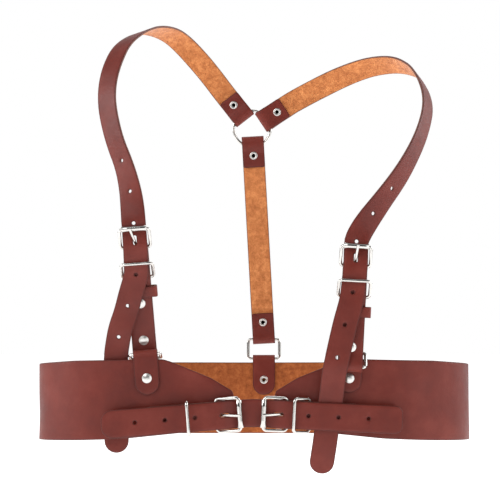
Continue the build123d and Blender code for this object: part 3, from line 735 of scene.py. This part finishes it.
def belt():
    path = belt_path()
    length = path.length
    half = BACK_HALF_HEIGHT
    left_top = WING_TOP + [(length / 2, half, 0)]
    right_top = [(length - s, z, r) for s, z, r in reversed(WING_TOP)]
    right_bottom = [(length - s, z, r) for s, z, r in WING_BOTTOM]
    left_bottom = [(length / 2, -half, 0)] + list(reversed(WING_BOTTOM))
    outline = rounded(left_top + right_top + right_bottom + left_bottom)
    near, far = SLACK_RANGE

    def wave(s, w):
        """Slack of real leather round the sides, none where other pieces lie on the belt."""
        side = min(s, length - s)
        share = min(max((side - near) / SLACK_FADE, 0), 1) * min(max((far - side) / SLACK_FADE, 0), 1)
        slow = noise.noise(Vector((s * 0.012, w * 0.02, 4.0)))
        fine = noise.noise(Vector((s * 0.06, w * 0.06, 9.0)))
        return share * 1.3 * slow + 0.12 * fine

    piece = leather("belt_leather", path, outline, [], BELT_THICKNESS, belt_materials_painted_shade, wave)
    return place(piece, HARNESS, "belt_leather", "belt_body")


# ---------------------------------------------------------------- straps
# each row: a point of the strap's middle layer, then its outward direction
LEFT_SHOULDER = [
    (-41, 64, 319, 0, 1, 0.1), (-53, 57, 333, -0.1, 0.9, 0.35), (-70, 45, 350, -0.15, 0.7, 0.7),
    (-82, 28, 357, -0.2, 0.4, 0.9), (-98, 5, 357, -0.26, 0, 0.97), (-111, -15, 349, -0.35, -0.3, 0.88),
    (-124, -32, 335, -0.45, -0.55, 0.7), (-131, -45, 316, -0.5, -0.7, 0.5),
    (-135, -52, 298, -0.57, -0.72, 0.35), (-135.5, -58, 280, -0.64, -0.74, 0.17),
    (-133, -62, 263, -0.65, -0.75, 0.05),
    (-127, -66, 240, -0.65, -0.75, -0.1), (-118, -70, 218, -0.6, -0.8, -0.17),
    (-112.5, -73.5, 197, -0.4, -0.9, -0.17), (-110, -76.5, 180, -0.15, -0.97, -0.18),
]
RIGHT_SHOULDER = [
    (61, 64, 307, 0, 1, 0.1), (87, 56, 319, 0.05, 0.85, 0.45), (112, 46, 327, 0.15, 0.75, 0.65),
    (131, 34, 328, 0.3, 0.6, 0.75), (143, 22, 325, 0.45, 0.42, 0.8), (153, 8, 318, 0.6, 0.1, 0.8),
    (157, -1, 311, 0.75, -0.1, 0.65), (162, -14, 297, 0.85, -0.32, 0.45),
    (163.5, -26, 282, 0.88, -0.42, 0.25), (161, -36, 267, 0.87, -0.48, 0),
    (155, -46, 249, 0.85, -0.53, -0.1), (146, -55, 230, 0.78, -0.6, -0.2),
    (133, -63, 208, 0.68, -0.7, -0.2), (115, -71, 184, 0.55, -0.8, -0.2), (100, -75.5, 164, 0.25, -0.95, 0),
]
# share of the reach to the roller, and share of the rise from under the roller to over the fold
THREADED = [(1.35, 0.03), (1.0, 0.0), (0.83, 0.05), (0.66, 0.25), (0.44, 0.62), (0.22, 0.92), (0, 1.0)]
# tails in their buckle's seat, and then hanging free, in the frame
LEFT_TAIL_SEATED = [(-14, 0.7, 5.3), (-23, 1.1, 5.4), (-31, 3.8, 5.5), (-41, 7.8, 5.6), (-58, 13.5, 5.6)]
LEFT_TAIL_FREE = [
    (-121.6, -63.8, 70), (-124.2, -60.6, 57), (-125.9, -59.6, 45), (-126.2, -59.4, 20), (-125.8, -59, -10),
    (-125, -58.5, -32),
]
RIGHT_TAIL_SEATED = [
    (-14, 0.8, 5.3), (-28, 1.6, 5.5), (-40, 4, 5.6), (-51, 6.7, 5.6), (-80, 11.8, 5.7), (-91, 13.5, 5.8),
]
RIGHT_TAIL_FREE = [
    (71, -79.5, 26), (70, -76.3, 15), (68.8, -73.7, 5), (66, -73.5, -12), (64.5, -73.4, -26),
    (62.5, -71.8, -40), (61, -69.5, -50),
]
CLOSING_TAIL_LEFT = [(-30, 0, 5.3), (-60, 0, 5.3), (-90, 0, 4.4), (-104, 0, 3.6)]
CLOSING_TAIL_RIGHT = [(-10, 0, 5.5), (-24, 0, 6.3), (-56, 0, 6.3), (-90, 0, 4.8), (-104, 0, 4.0)]
PRONG_HOLE = (3.2, 12.0, 3.3)     # start, end and width of the worn hole that the prong uses


def threaded(buckle):
    low, high = buckle.under_roller(), buckle.over_fold()
    return seated(buckle, [(x * buckle.reach, 0, low + share * (high - low)) for x, share in THREADED])


def seated(buckle, points):
    return [(buckle.seat.point(*p), buckle.seat.z) for p in points]


def end_fold(angle, fold=SHOULDER_FOLD):
    """Turned-back end, fold round the O-ring's wire and the start of the strap's run."""
    inner_end, closed, _ = fold
    spread = RING_WIRE / 2 + FOLD_GAP + NARROW_THICKNESS / 2
    half_way = (RING_OUTSIDE + closed) / 2
    half_open = (spread + NARROW_LAYER) / 2
    layers = [(x, NARROW_LAYER) for x in (FOLD_REACH, 34, closed + 4, closed + 1)]
    layers += [(half_way, half_open), (RING_OUTSIDE - 1.5, spread)]
    rows = [(point, (0, 1)) for point in layers]
    rows += arc_points((inner_end + spread, 0), spread, 90, 270)
    rows += [((x, -z), (0, -1)) for x, z in layers[:0:-1]]
    return seated_rows(ring_seat(angle), rows)


def hole_places(start, way, first, pitch=NARROW_PITCH):
    """Distances of three holes, one way along the path from start."""
    return [start + way * (first + i * pitch) for i in range(3)]


def prong_hole(path, buckle):
    """Worn hole along the path, between the bar and the roller."""
    start, end, width = PRONG_HOLE
    high = buckle.over_fold()
    a = path.nearest(buckle.seat.point(start, 0, high))
    b = path.nearest(buckle.seat.point(end, 0, high * 0.6))
    return long_hole(a, b, width)


def rivet_holes(path, seat, x, layer=NARROW_LAYER):
    """Holes through both layers of a folded piece where its rivet's shank passes."""
    return [round_hole(path.nearest(seat.point(x, 0, z)), SHANK_RADIUS) for z in (layer, -layer)]


def shoulder_strap(side, angle, hand, tail_seated, tail_free):
    buckle = BUCKLES[f"shoulder_{side}"]
    seat = ring_seat(angle)
    rows = end_fold(angle)
    rows += [(seat.point(x, 0, -NARROW_LAYER), Vector((0, 1, 0))) for x in (41, 49)]
    rows += [(Vector(p[:3]), Vector(p[3:])) for p in hand]
    rows += threaded(buckle) + seated(buckle, tail_seated)
    rows += [(Vector(p), Vector((0, -1, 0))) for p in tail_free]
    tip_run = (rows[-1][0] - rows[-2][0]).normalized() * (NARROW_STRAP / 2)
    rows.append((rows[-1][0] + tip_run, rows[-1][1]))
    path = path_of(rows)
    bar = path.nearest(buckle.seat.point(0, 0, buckle.over_fold()))
    places = hole_places(bar, -1, NARROW_PITCH - 7) + hole_places(bar, 1, NARROW_PITCH - 6)
    holes = [round_hole(s) for s in places] + [prong_hole(path, buckle)]
    holes += rivet_holes(path, seat, SHOULDER_FOLD[2])
    outline = strip_outline(path.length, NARROW_STRAP, 2.5, TIP_ROUND)
    name = f"shoulder_strap_{side}"
    piece = leather(f"{name}_leather", path, outline, holes, NARROW_THICKNESS, strap_materials)
    return place(piece, HARNESS, "strap_leather", name)


def back_strap():
    seat = ring_seat(back_angle())
    length = (RING_BARS["back_ring"][1] - O_RING_CENTRE).length
    rows = end_fold(back_angle(), BACK_FOLD)
    back, front = (0, -1), (0, 1)
    run = [((x, -NARROW_LAYER), back) for x in (60, 90, 120, 150, length - 18)]
    run += [((length - x, -z), back) for x, z in OPENING]
    run += arc_points((length, 0), BAR_FOLD, -90, 90)
    run += [((length - x, z), front) for x, z in reversed(OPENING)]
    run += [((length - 26, NARROW_LAYER), front)]
    path = path_of(rows + seated_rows(seat, run))
    outline = strip_outline(path.length, NARROW_STRAP, 2.0, 2.0)
    holes = rivet_holes(path, seat, BACK_FOLD[2]) + rivet_holes(path, seat, length - BACK_RIVET)
    piece = leather("back_strap_leather", path, outline, holes, NARROW_THICKNESS, strap_materials)
    return place(piece, HARNESS, "strap_leather", "back_strap")


def closing_strap():
    left, right = BUCKLES["belt_left"], BUCKLES["belt_right"]
    left_tail, right_tail = seated(left, CLOSING_TAIL_LEFT), seated(right, CLOSING_TAIL_RIGHT)
    rows = list(reversed(left_tail)) + list(reversed(threaded(left))) + threaded(right) + right_tail
    path = path_of(rows)
    middle = path.length / 2
    left_bar = path.nearest(left.seat.point(0, 0, left.over_fold()), 0, middle)
    right_bar = path.nearest(right.seat.point(0, 0, right.over_fold()), middle, path.length)
    places = hole_places(left_bar, -1, WIDE_PITCH - 8, WIDE_PITCH)
    places += hole_places(right_bar, 1, WIDE_PITCH - 8, WIDE_PITCH)
    holes = [round_hole(s) for s in places] + [prong_hole(path, left), prong_hole(path, right)]
    outline = strip_outline(path.length, WIDE_STRAP, 10.0, 7.0)
    piece = leather("closing_strap_leather", path, outline, holes, WIDE_THICKNESS, strap_materials)
    return place(piece, HARNESS, "strap_leather", "closing_strap")


# ---------------------------------------------------------------- chapes, tabs and leather keepers
def chape_rows(buckle, far_x, height):
    """Lower layer from far_x to the bar, fold, then the upper layer back, as seat rows."""
    loop = buckle.bar_loop()
    pocket = buckle.keeper_x - WIRE / 2 - 0.4
    join = pocket - 3.6
    layer = buckle.thickness / 2 + SKIM
    flat, wide = (far_x, join - 1.5, join), (pocket, pocket / 2, -3)
    rows = [((x, height - layer), (0, -1)) for x in flat] + [((x, -loop), (0, -1)) for x in wide]
    rows += arc_points((0, 0), loop, -90, 90)
    rows += [((x, loop), (0, 1)) for x in wide[::-1]]
    return rows + [((x, height + layer), (0, 1)) for x in flat[::-1]]


def fold_slot(path, buckle, back_reach=8.0, width=4.2):
    """Slot through the fold at the bar that lets the prong swing."""
    a, b = (path.nearest(buckle.seat.point(-back_reach, 0, side * buckle.bar_loop())) for side in (-1, 1))
    return long_hole(a, b, width)


def belt_chape(side):
    buckle = BUCKLES[f"belt_{side}"]
    height = SKIM - WIRE / 2 - BAR_PLAY
    path = path_of(seated_rows(buckle.seat, chape_rows(buckle, -64.0, height)))
    outline = strip_outline(path.length, WIDE_STRAP, 4.0, 4.0)
    name = f"belt_chape_{side}"
    slot_hole = fold_slot(path, buckle)
    piece = leather(f"{name}_leather", path, outline, [slot_hole], WIDE_THICKNESS, strap_materials)
    return place(piece, HARNESS, "strap_leather", name)


def buckle_strap(side):
    """Closed band from the shoulder buckle's bar to the belt ring, its ends meeting at the back."""
    buckle = BUCKLES[f"shoulder_{side}"]
    ring_bar = RING_BARS[f"front_ring_{side}"][1]
    length = (buckle.seat.origin - ring_bar).length
    down, up = (0, -1), (0, 1)
    rows = chape_rows(buckle, 24 - length, 0)
    rows += [((x - length, z), up) for x, z in OPENING]
    rows += arc_points((-length, 0), BAR_FOLD, 90, 270)
    rows += [((x - length, -z), down) for x, z in reversed(OPENING)]
    rows.append(((23.4 - length, -NARROW_LAYER), down))
    path = path_of(seated_rows(buckle.seat, rows))
    outline = strip_outline(path.length, NARROW_STRAP, 0.8, 0.8)
    name = f"buckle_strap_{side}"
    slot_hole = fold_slot(path, buckle)
    piece = leather(f"{name}_leather", path, outline, [slot_hole], NARROW_THICKNESS, strap_materials)
    return place(piece, HARNESS, "strap_leather", name)


def strap_lean(side):
    along = BUCKLES[f"shoulder_{side}"].seat.x
    return math.degrees(math.atan2(along.x, along.z))


def tab(name, ring, low_front, low_back, rivet_z, lean=0.0):
    """Tab over the belt's top edge and round the ring's bar: two legs with round ends."""
    bar = RING_BARS[ring][0]
    half = TAB_PLAY + NARROW_THICKNESS / 2
    turn = math.radians(lean)
    seat = Seat(bar, (math.sin(turn), 0, math.cos(turn)), (0, -1, 0))
    low_front, low_back = low_front - bar.z, low_back - bar.z
    rows = [((low_front - low_front * i / 4, half), (0, 1)) for i in range(4)]
    rows += arc_points((0, 0), half, 90, -90, 12.0)
    rows += [((low_back * i / 4, -half), (0, -1)) for i in range(1, 5)]
    path = path_of(seated_rows(seat, rows))
    outline = strip_outline(path.length, NARROW_STRAP, TIP_ROUND, TIP_ROUND)
    holes = rivet_holes(path, seat, (rivet_z - bar.z) / math.cos(turn), half)
    piece = leather(f"{name}_leather", path, outline, holes, NARROW_THICKNESS, strap_materials)
    return place(piece, HARNESS, "strap_leather", name)


def leather_keeper(side):
    """Narrow band round the buckle strap, its ends meeting at the back."""
    buckle = BUCKLES[f"shoulder_{side}"]
    name = f"leather_keeper_{side}"
    wide, high = ((inside + KEEPER_WALL) / 2 for inside in KEEPER_INSIDE)
    corner = KEEPER_CORNER
    x, y = KEEPER_CENTRE
    seat = Seat(buckle.seat.point(x, y, 0), buckle.seat.y, buckle.seat.z)
    rows = [((x, -high), (0, -1)) for x in (-0.2, -5, -9, corner - wide)]
    for x, z, start in (
        (corner - wide, corner - high, 270), (corner - wide, high - corner, 180),
        (wide - corner, high - corner, 90), (wide - corner, corner - high, 0),
    ):
        rows += arc_points((x, z), corner, start, start - 90)
    rows += [((x, -high), (0, -1)) for x in (9, 5, 0.2)]
    path = path_of(seated_rows(seat, rows), 2)
    outline = strip_outline(path.length, KEEPER_LENGTH, 0.4, 0.4)
    piece = leather(f"{name}_band", path, outline, [], KEEPER_WALL, strap_materials)
    return place(piece, name, "strap_leather", name)


# ---------------------------------------------------------------- metal
def metal_object(name, verts, faces, *materials):
    return linked(name, smooth_mesh(name, [v * MM for v in verts], faces, materials or [bright_nickel]))


def tube(points, radii, closed=False, sides=20, flatten=1.0, flat_axis=None):
    """Vertices and faces of wire swept along points, with rounded ends when it is open."""
    count = len(points)
    if isinstance(radii, (int, float)):
        radii = [radii] * count
    verts, faces = [], []
    before = [points[-1] if closed else points[0], *points[:-1]]
    after = [*points[1:], points[0] if closed else points[-1]]
    directions = [(b - a).normalized() for a, b in zip(before, after)]
    side = flat_axis or (Vector((0, 0, 1)) if abs(directions[0].z) < 0.9 else Vector((1, 0, 0)))
    for i, (centre, along) in enumerate(zip(points, directions)):
        side = (side - along * side.dot(along)).normalized()
        other = along.cross(side)
        for k in range(sides):
            a = 2 * math.pi * k / sides
            verts.append(centre + (side * math.cos(a) * flatten + other * math.sin(a)) * radii[i])
    rings = count if closed else count - 1
    for i in range(rings):
        a, b = i * sides, ((i + 1) % count) * sides
        for k in range(sides):
            j = (k + 1) % sides
            faces.append((a + k, a + j, b + j, b + k))
    if not closed:
        for start, centre, way in ((0, points[0], -1), ((count - 1) * sides, points[-1], 1)):
            verts.append(centre)
            for k in range(sides):
                j = (k + 1) % sides
                ring = (start + k, start + j) if way > 0 else (start + j, start + k)
                faces.append((*ring, len(verts) - 1))
    return verts, faces


def ball_ends(points, radii, steps=4):
    """Add shrinking rings beyond both ends, so that an open wire ends in a dome."""
    def dome(end, before, radius):
        along = (end - before).normalized()
        turns = [math.radians(90 * (k + 1) / (steps + 0.4)) for k in range(steps)]
        return [(end + along * radius * math.sin(a), radius * math.cos(a)) for a in turns]

    head = dome(points[0], points[1], radii[0])[::-1]
    rings = head + list(zip(points, radii)) + dome(points[-1], points[-2], radii[-1])
    return [p for p, _ in rings], [r for _, r in rings]


def loop_points(seat, reach, across, bow):
    """Rounded rectangle in a seat's xy plane, one bar at x = 0 and the other at x = reach."""
    half = across / 2
    corners = ((0, -half), (reach, -half), (reach, half), (0, half))
    outline = rounded([(x, y, WIRE_CORNER) for x, y in corners], step=9.0)
    points = []
    for a, b in zip(outline, outline[1:] + outline[:1]):
        count = max(1, round((b - a).length / 2.5))
        for k in range(count):
            p = a.lerp(b, k / count)
            arm = math.sin(math.pi * min(max(p.x / reach, 0), 1)) * bow
            points.append(seat.point(p.x, p.y, arm * (abs(p.y) / half)))
    return points


def wire_loop(name, seat, reach, across, bow=0.0):
    return metal_object(name, *tube(loop_points(seat, reach, across, bow), WIRE / 2, closed=True))


def tilted(seat, x, degrees):
    """Seat moved to x and turned about its bar, so that its own x rises by the angle."""
    a = math.radians(degrees)
    along, out = seat.vector(math.cos(a), 0, math.sin(a)), seat.vector(-math.sin(a), 0, math.cos(a))
    return Seat(seat.point(x, 0, 0), along, out)


def lathe(centre, axis_dirs, profile, sides=RIVET_SIDES, closed=False):
    """Solid of revolution: profile of (radius, height) about a point and (side, other, axis) directions."""
    side, other, axis = axis_dirs
    verts, faces = [], []
    for radius, height in profile:
        for k in range(sides):
            a = 2 * math.pi * k / sides
            outward = side * math.cos(a) + other * math.sin(a)
            verts.append(centre + axis * height + outward * max(radius, 1e-3))
    rows = len(profile)
    for i in range(rows if closed else rows - 1):
        a, b = i * sides, ((i + 1) % rows) * sides
        for k in range(sides):
            j = (k + 1) % sides
            faces.append((a + k, a + j, b + j, b + k))
    return verts, faces


def joined(parts):
    verts, faces = [], []
    for part_verts, part_faces in parts:
        shift = len(verts)
        verts += part_verts
        faces += [tuple(i + shift for i in face) for face in part_faces]
    return verts, faces


def buckle_frame(buckle):
    length = math.hypot(buckle.reach, ROLLER_RISE)
    seat = tilted(buckle.seat, 0, math.degrees(math.atan2(ROLLER_RISE, buckle.reach)))
    name = f"{buckle.key}_frame"
    piece = wire_loop(f"{name}_wire", seat, length, buckle.inner + WIRE, bow=0.5)
    return place(piece, name, "nickel", name)


def roller(buckle):
    """Rolled sheet tube with eased ends and its butt seam."""
    half = (buckle.inner - 1.4) / 2
    ease, seam_depth, sides = 0.3, 0.12, 48
    profile = [(ROLLER_BORE, -half + ease), (ROLLER_BORE + ease, -half), (ROLLER_RADIUS - ease, -half)]
    profile += [(ROLLER_RADIUS, y) for y in (-half + ease, -half / 2, 0, half / 2, half - ease)]
    profile += [(ROLLER_RADIUS - ease, half), (ROLLER_BORE + ease, half), (ROLLER_BORE, half - ease)]
    seat = buckle.seat
    centre = seat.point(buckle.reach, 0, ROLLER_RISE)
    verts, faces = lathe(centre, (seat.z, seat.x, seat.y), profile, sides, closed=True)
    for i, (radius, y) in enumerate(profile):
        if radius == ROLLER_RADIUS:
            k = i * sides + sides // 2
            verts[k] -= (verts[k] - centre - seat.y * y).normalized() * seam_depth
    name = f"{buckle.key}_roller"
    return place(metal_object(f"{name}_tube", verts, faces), name, "nickel", name)


def prong(buckle, drift):
    """Tapered prong: a flattened eye round the bar and a shank whose tip rests on the roller."""
    seat = buckle.seat
    eye = [
        seat.point(PRONG_EYE * math.cos(a), -drift * 0.25, PRONG_EYE * math.sin(a))
        for a in (math.radians(12 * i) for i in range(30))
    ]
    eye_tube = tube(eye, 1.0, closed=True, flatten=1.15, flat_axis=seat.y, sides=14)
    lean = math.radians(PRONG_LEAN)
    root = Vector((PRONG_EYE * math.cos(lean), -drift * 0.25, PRONG_EYE * math.sin(lean)))
    tip = Vector((buckle.reach + 0.4, drift, ROLLER_RISE + PRONG_TIP_RISE - 0.25))
    shank, radii = [], []
    for share in (i / 12 for i in range(13)):
        p = root.lerp(tip, share)
        p.z += PRONG_BOW * math.sin(math.pi * share)
        shank.append(seat.point(*p))
        radii.append(PRONG_ROOT - PRONG_TAPER * share)
    shank, radii = ball_ends(shank, radii)
    verts, faces = joined([eye_tube, tube(shank, radii, flatten=1.1, flat_axis=seat.y, sides=16)])
    name = f"{buckle.key}_prong"
    return place(metal_object(f"{name}_wire", verts, faces), name, "nickel", name)


def metal_keeper(buckle):
    seat = tilted(buckle.seat, buckle.keeper_x, buckle.keeper_tilt)
    across = buckle.inner + 2 * buckle.keeper_room + WIRE
    name = f"{buckle.key}_keeper"
    piece = wire_loop(f"{name}_wire", seat, RING_REACH, across)
    return place(piece, name, "nickel", name)


def rectangular_ring(name, lean=0.0):
    first, second = RING_BARS[name]
    bar = Vector((math.cos(math.radians(lean)), 0, -math.sin(math.radians(lean))))
    run = second - first
    reach = run - bar * run.dot(bar)
    seat = Seat(first + bar * (run.dot(bar) / 2), reach, reach.cross(bar))
    piece = wire_loop(f"{name}_wire", seat, reach.length, RING_ACROSS[name])
    return place(piece, name, "nickel", name)


def o_ring():
    radius = (O_RING_DIAMETER - RING_WIRE) / 2
    points = [
        O_RING_CENTRE + Vector((radius * math.cos(a), 0, radius * math.sin(a)))
        for a in (2 * math.pi * i / 96 for i in range(96))
    ]
    verts, faces = tube(points, RING_WIRE / 2, closed=True, sides=24, flat_axis=Vector((0, 1, 0)))
    return place(metal_object("o_ring_wire", verts, faces), "o_ring", "nickel", "o_ring")


# ---------------------------------------------------------------- rivets
def rivet(point, outward, grip):
    """Tubular rivet: domed cap with a lip at the point, rolled rim and open bore at the far end."""
    side = outward.orthogonal().normalized()
    dirs = (side, outward.cross(side), outward)
    lip = ((0.5, 0.0), (0.05, 0.05), (0.0, 0.28), (0.22, 0.5))
    dome = [(CAP_RADIUS - inwards, height) for inwards, height in lip]
    steep = math.radians(70)
    for a in (math.radians(degrees) for degrees in range(70, -1, -10)):
        rise = (CAP_HEIGHT - 0.5) * (math.cos(a) - math.cos(steep)) / (1 - math.cos(steep))
        dome.append(((CAP_RADIUS - 0.6) * math.sin(a) / math.sin(steep), 0.5 + rise))
    cap = lathe(point, dirs, dome)
    rim_middle = (RIM_RADIUS + BORE_RADIUS) / 2 + 0.2
    roll = (RIM_RADIUS - BORE_RADIUS) / 2 - 0.2
    rim = [(RIM_RADIUS, 0.0)]
    for a in (math.radians(degrees) for degrees in range(0, 181, 15)):
        rim.append((rim_middle + roll * math.cos(a), 0.1 + (RIM_HEIGHT - 0.1) * math.sin(a)))
    rim += [(BORE_RADIUS, -0.6), (BORE_RADIUS, -2.6), (0.0, -2.7)]
    far = point - outward * grip
    back_dirs = (side, -outward.cross(side), -outward)
    return joined([cap, lathe(far, back_dirs, rim)])


def tab_rivet(middle, side):
    reach = TAB_PLAY + NARROW_THICKNESS
    outward = Vector((0, side, 0))
    return rivet(middle + outward * reach, outward, 2 * reach)


def front_tab_middle(side):
    bar = RING_BARS[f"front_ring_{side}"][0]
    drop = bar.z - FRONT_TAB_RIVET
    return Vector((bar.x - drop * math.tan(math.radians(strap_lean(side))), bar.y, FRONT_TAB_RIVET))


def all_rivets():
    two = 2 * NARROW_THICKNESS + 2 * SKIM
    back = Vector((0, 1, 0))

    def at_the_ring(angle, x):
        return rivet(ring_seat(angle).point(x, 0, -two / 2), back, two)

    low = (RING_BARS["back_ring"][1] - O_RING_CENTRE).length - BACK_RIVET
    back_bar = RING_BARS["back_ring"][0]
    groups = {
        "shoulder_strap_rivets": [at_the_ring(a, SHOULDER_FOLD[2]) for a in (LEFT_ANGLE, RIGHT_ANGLE)],
        "back_strap_rivets": [at_the_ring(back_angle(), x) for x in (BACK_FOLD[2], low)],
        "back_tab_rivet": [tab_rivet(Vector((back_bar.x, back_bar.y, BACK_TAB_RIVET)), 1)],
        "front_tab_rivets": [tab_rivet(front_tab_middle(side), -1) for side in ("left", "right")],
    }
    straps = []
    for side, rises in (("left", (18.0, 52.7)), ("right", (18.0, 39.2))):
        seat = BUCKLES[f"shoulder_{side}"].seat
        length = (seat.origin - RING_BARS[f"front_ring_{side}"][1]).length
        straps += [rivet(seat.point(rise - length, 0, two / 2), seat.z, two) for rise in rises]
    groups["buckle_strap_rivets"] = straps
    height = SKIM - WIRE / 2 - BAR_PLAY + WIDE_THICKNESS + SKIM
    wing_face = BELT_THICKNESS / 2 + HALF_DEPTH + BAR_DEPTH
    grip = height - wing_face + BELT_THICKNESS
    groups["belt_chape_rivets"] = [
        rivet(BUCKLES[f"belt_{side}"].seat.point(-57.0, across, height), Vector((0, -1, 0)), grip)
        for side in ("left", "right") for across in (-6.0, 6.0)
    ]
    for name, solids in groups.items():
        verts, faces = joined(solids)
        piece = metal_object(f"{name}_metal", verts, faces, rivet_nickel, painted_bore_shadow)
        # the bore's faces take the near-black painted shadow material
        each = len(solids[0][1])
        for face in piece.data.polygons:
            if face.index % each >= each - BORE_ROWS * RIVET_SIDES:
                face.material_index = 1
        place(piece, HARNESS, "nickel", name)


# ---------------------------------------------------------------- the harness
PRONG_DRIFT = {"shoulder_left": 3.4, "shoulder_right": -1.2, "belt_left": -1.5, "belt_right": 1.2}

belt()
back_strap()
closing_strap()
shoulder_strap("left", LEFT_ANGLE, LEFT_SHOULDER, LEFT_TAIL_SEATED, LEFT_TAIL_FREE)
shoulder_strap("right", RIGHT_ANGLE, RIGHT_SHOULDER, RIGHT_TAIL_SEATED, RIGHT_TAIL_FREE)
tab("back_tab", "back_ring", 3.0, 8.0, BACK_TAB_RIVET)
rectangular_ring("back_ring")
o_ring()
for side, low_front in (("left", 10.0), ("right", 12.0)):
    belt_chape(side)
    buckle_strap(side)
    leather_keeper(side)
    tab(f"front_tab_{side}", f"front_ring_{side}", low_front, 14.0, FRONT_TAB_RIVET, strap_lean(side))
    rectangular_ring(f"front_ring_{side}", strap_lean(side))
for key, buckle in BUCKLES.items():
    buckle_frame(buckle)
    roller(buckle)
    prong(buckle, PRONG_DRIFT[key])
    metal_keeper(buckle)
all_rivets()


# ---------------------------------------------------------------- floor, light and camera
FLOOR_SIZE, FLOOR_HEIGHT = 8.0, -0.17
# (axis, sign, stops of direction and brightness): darkest in front, where the camera stands
SKY = (
    ("X", 1, ((0.3, 1.0), (0.85, 0.55))), ("X", -1, ((0.3, 1.0), (0.85, 0.55))),
    ("Y", -1, ((0.45, 0.95), (0.82, 0.05))), ("Z", 1, ((0.3, 1.0), (0.85, 0.4))),
)
TARGET, HIGH_TARGET = (0.0, 0.0, 0.15), (0, 0, 0.25)
SOFTBOXES = (
    ("key", (-1.1, -1.7, 1.5), TARGET, (1.2, 1.2), 20.0),
    ("fill", (1.5, -1.4, 0.7), TARGET, (0.9, 1.4), 9.0),
    ("top", (0.2, 0.9, 1.7), TARGET, (1.2, 0.8), 9.0),
    ("left", (-1.6, -0.25, 0.7), HIGH_TARGET, (0.7, 1.0), 14.0),
    ("right", (1.5, 0.35, 0.75), HIGH_TARGET, (0.7, 1.0), 14.0),
)


def floor():
    mesh = bpy.data.meshes.new("floor")
    ways = ((-1, -1), (1, -1), (1, 1), (-1, 1))
    corners = [(x * FLOOR_SIZE, y * FLOOR_SIZE, FLOOR_HEIGHT) for x, y in ways]
    mesh.from_pydata(corners, [], [(0, 1, 2, 3)])
    n = Nodes("floor_paper")
    n.give("Base Color", n.ramp(n.noise(3.0), ((0.3, (0.90,) * 3), (0.7, (0.93,) * 3))))
    n.give("Roughness", 0.9)
    n.give("Emission Color", (1, 1, 1, 1))
    n.give("Emission Strength", 0.75)
    mesh.materials.append(n.material)
    linked("floor", mesh)


def softbox(name, spot, target, size, power):
    light = bpy.data.lights.new(name, "AREA")
    light.shape = "RECTANGLE"
    light.size, light.size_y = size
    light.energy = power
    lamp = linked(name, light)
    lamp.location = spot
    lamp.rotation_euler = (Vector(target) - Vector(spot)).to_track_quat("-Z", "Y").to_euler()


def sky():
    """White where it is seen; for light and reflections, graded by direction."""
    world = bpy.data.worlds.new("studio")
    bpy.context.scene.world = world
    world.use_nodes = True
    nodes, link = world.node_tree.nodes, world.node_tree.links.new
    split = nodes.new("ShaderNodeSeparateXYZ")
    link(nodes.new("ShaderNodeTexCoord").outputs["Generated"], split.inputs[0])
    shade = None
    for axis, sign, stops in SKY:
        signed = nodes.new("ShaderNodeMath")
        signed.operation = "MULTIPLY"
        signed.inputs[1].default_value = sign
        link(split.outputs[axis], signed.inputs[0])
        ramp = nodes.new("ShaderNodeValToRGB")
        for element, (spot, grey) in zip(ramp.color_ramp.elements, stops):
            element.position, element.color = spot, (grey, grey, grey, 1)
        link(signed.outputs[0], ramp.inputs["Fac"])
        if shade:
            product = nodes.new("ShaderNodeMix")
            product.data_type, product.blend_type = "RGBA", "MULTIPLY"
            product.inputs[0].default_value = 1.0
            link(shade, product.inputs[6])
            link(ramp.outputs[0], product.inputs[7])
            shade = product.outputs[2]
        else:
            shade = ramp.outputs[0]
    seen = nodes.new("ShaderNodeMix")
    seen.data_type = "RGBA"
    link(nodes.new("ShaderNodeLightPath").outputs["Is Camera Ray"], seen.inputs[0])
    link(shade, seen.inputs[6])
    seen.inputs[7].default_value = (1, 1, 1, 1)
    background = nodes["Background"]
    link(seen.outputs[2], background.inputs["Color"])
    background.inputs["Strength"].default_value = 1.0


floor()
sky()
for box in SOFTBOXES:
    softbox(*box)

camera_data = bpy.data.cameras.new("camera")
camera_data.lens = 106.1
camera_data.sensor_width = 36.0
camera = linked("camera", camera_data)
camera.location = (-0.0038, -1.404, 0.082)
camera.rotation_euler = (math.radians(92.53), 0, 0)
bpy.context.scene.camera = camera
bpy.context.scene.view_settings.view_transform = "Standard"
